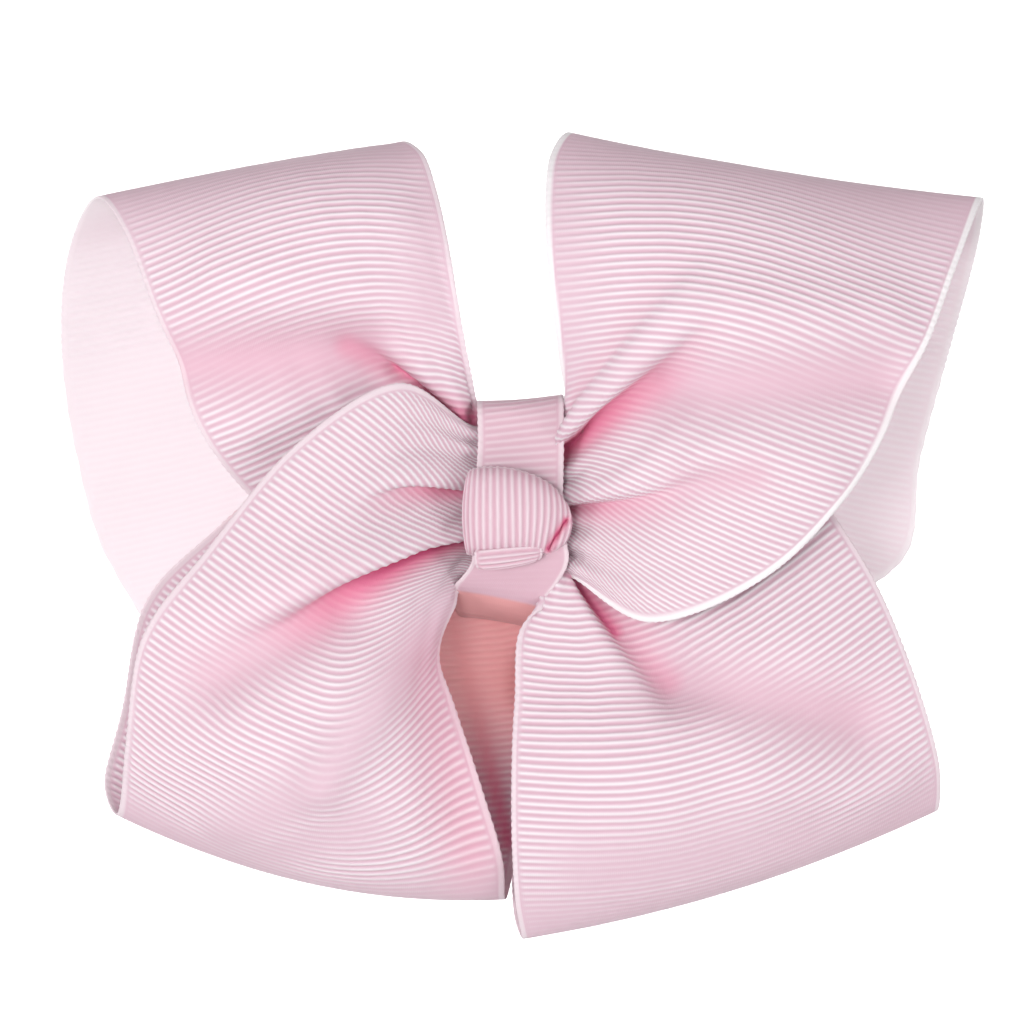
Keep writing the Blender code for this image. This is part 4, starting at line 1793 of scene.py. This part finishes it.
@dataclass
class Studio:
    """A pale bowl-shaped floor, soft lights and the camera. Sizes in metres.

    Attributes:
        floor_z: Height of the floor.
        floor_radius: Where the floor starts to rise.
        wall_radius: Where it stands upright.
        wall_top: Height of its rim.
        distance: From the camera to where it is aimed.
        view_width: What the camera takes in at that distance.
        aim: The ribbon point that the camera is aimed at, in mm.
    """

    floor_z: float = -0.3
    floor_radius: float = 1.2
    wall_radius: float = 2.0
    wall_top: float = 1.6
    distance: float = 0.62
    view_width: float = 0.1796
    aim: Point = (-0.9, 0.5, 0.0)

    def floor(self) -> None:
        """Turns the floor and its rising rim as one surface."""
        bm = bmesh.new()
        bend = self.wall_radius - self.floor_radius
        profile = [(0.0, self.floor_z), (self.floor_radius, self.floor_z)]
        steps = 12
        for i in range(1, steps + 1):
            angle = math.pi / 2 * i / steps
            r = self.floor_radius + bend * math.sin(angle)
            profile.append((r, self.floor_z + bend * (1 - math.cos(angle))))
        profile.append((self.wall_radius, self.wall_top))
        verts = [bm.verts.new((r, 0, z)) for r, z in profile]
        edges = [bm.edges.new(pair) for pair in zip(verts, verts[1:])]
        bmesh.ops.spin(
            bm, geom=verts + edges, cent=(0, 0, 0), axis=(0, 0, 1),
            angle=2 * math.pi, steps=64, use_merge=True,
        )
        bmesh.ops.remove_doubles(bm, verts=bm.verts, dist=1e-5)
        mesh = bpy.data.meshes.new("studio_floor")
        bm.to_mesh(mesh)
        bm.free()
        mesh.shade_smooth()
        g = Graph("studio_paper")
        tone = g.mix(g.noise(3.0), linear("FCFCFC"), linear("F8F8F8"))
        mesh.materials.append(g.finish(Base_Color=tone, Roughness=0.9))
        add_object("studio_floor", mesh)

    def light(self, name: str, place: Point, aim: Point, size: float, power: float) -> None:
        """Adds a soft square light.

        Args:
            name: Its name.
            place: Where it stands, in metres.
            aim: Where it points, in metres.
            size: The length of its side, in metres.
            power: In watts.
        """
        data = bpy.data.lights.new(name, "AREA")
        data.size = size
        data.energy = power
        lamp = add_object(name, data)
        lamp.location = place
        lamp.rotation_euler = (Vector(aim) - lamp.location).to_track_quat("-Z", "Y").to_euler()
        lamp.visible_camera = False

    def lights(self) -> None:
        """Sets a bright surround and the lamps."""
        world = bpy.data.worlds.new("surround")
        world.use_nodes = True
        sky = world.node_tree.nodes["Background"]
        sky.inputs["Color"].default_value = linear("FFFFFF")
        sky.inputs["Strength"].default_value = 0.4
        bpy.context.scene.world = world
        middle = (0.0, 0.0, 0.0)
        self.light("key", (-0.16, -0.56, 0.0), middle, 0.16, 1.2)
        self.light("side_left", (-0.9, -0.75, -0.05), middle, 0.35, 2.6)
        self.light("side_right", (0.95, -0.65, -0.05), middle, 0.35, 2.6)
        self.light("background", (0.0, 0.6, 0.2), (0.0, 2.0, 0.0), 0.8, 22.0)

    def camera(self) -> None:
        """Stands the camera in front of the bow, level with its middle."""
        data = bpy.data.cameras.new("camera")
        data.lens = data.sensor_width * self.distance / self.view_width
        data.clip_start = 0.01
        camera = add_object("camera", data)
        camera.location = at(*self.aim) - Vector((0, self.distance, 0))
        camera.rotation_euler = (math.pi / 2, 0, 0)
        bpy.context.scene.camera = camera

    def build(self) -> None:
        """Makes the whole studio."""
        self.camera()
        self.floor()
        self.lights()
        bpy.context.scene.view_settings.view_transform = "Standard"


def dress(node: str, finish: bpy.types.Material) -> None:
    """Gives a CAD node its finish.

    Args:
        node: The node's name.
        finish: Its material.
    """
    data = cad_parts[node].data
    data.materials.clear()
    data.materials.append(finish)


def main() -> None:
    """Builds the studio and every piece, in order."""
    logging.basicConfig(level=logging.INFO, format="%(message)s")
    Studio().build()
    wide = Grosgrain("wide_grosgrain").make()
    narrow = Grosgrain("wrap_grosgrain", pale="E8C8D4", ridge="F6E4EB", groove="DBA4B8").make()
    plating = Plating("nickel_plating").make()
    GatheringThread().build(SpunCotton("sewing_thread").make())
    GlueBlob().build(SetGlue("set_glue").make())
    fixed_arm().build(plating)
    jaw_arm().build(plating)
    dress("clip_pin", plating)
    Spring().build(Plating("spring_steel", colour="B4B4B8", dull="7C7C82").make())
    for loop in (upper_left(), upper_right(), lower_left(), lower_right()):
        loop.build(wide)
    Wrap().build(narrow)
    knot_turn().build(narrow, "centre_knot")
    knot_lip().build(narrow)


if __name__ == "__main__":
    main()
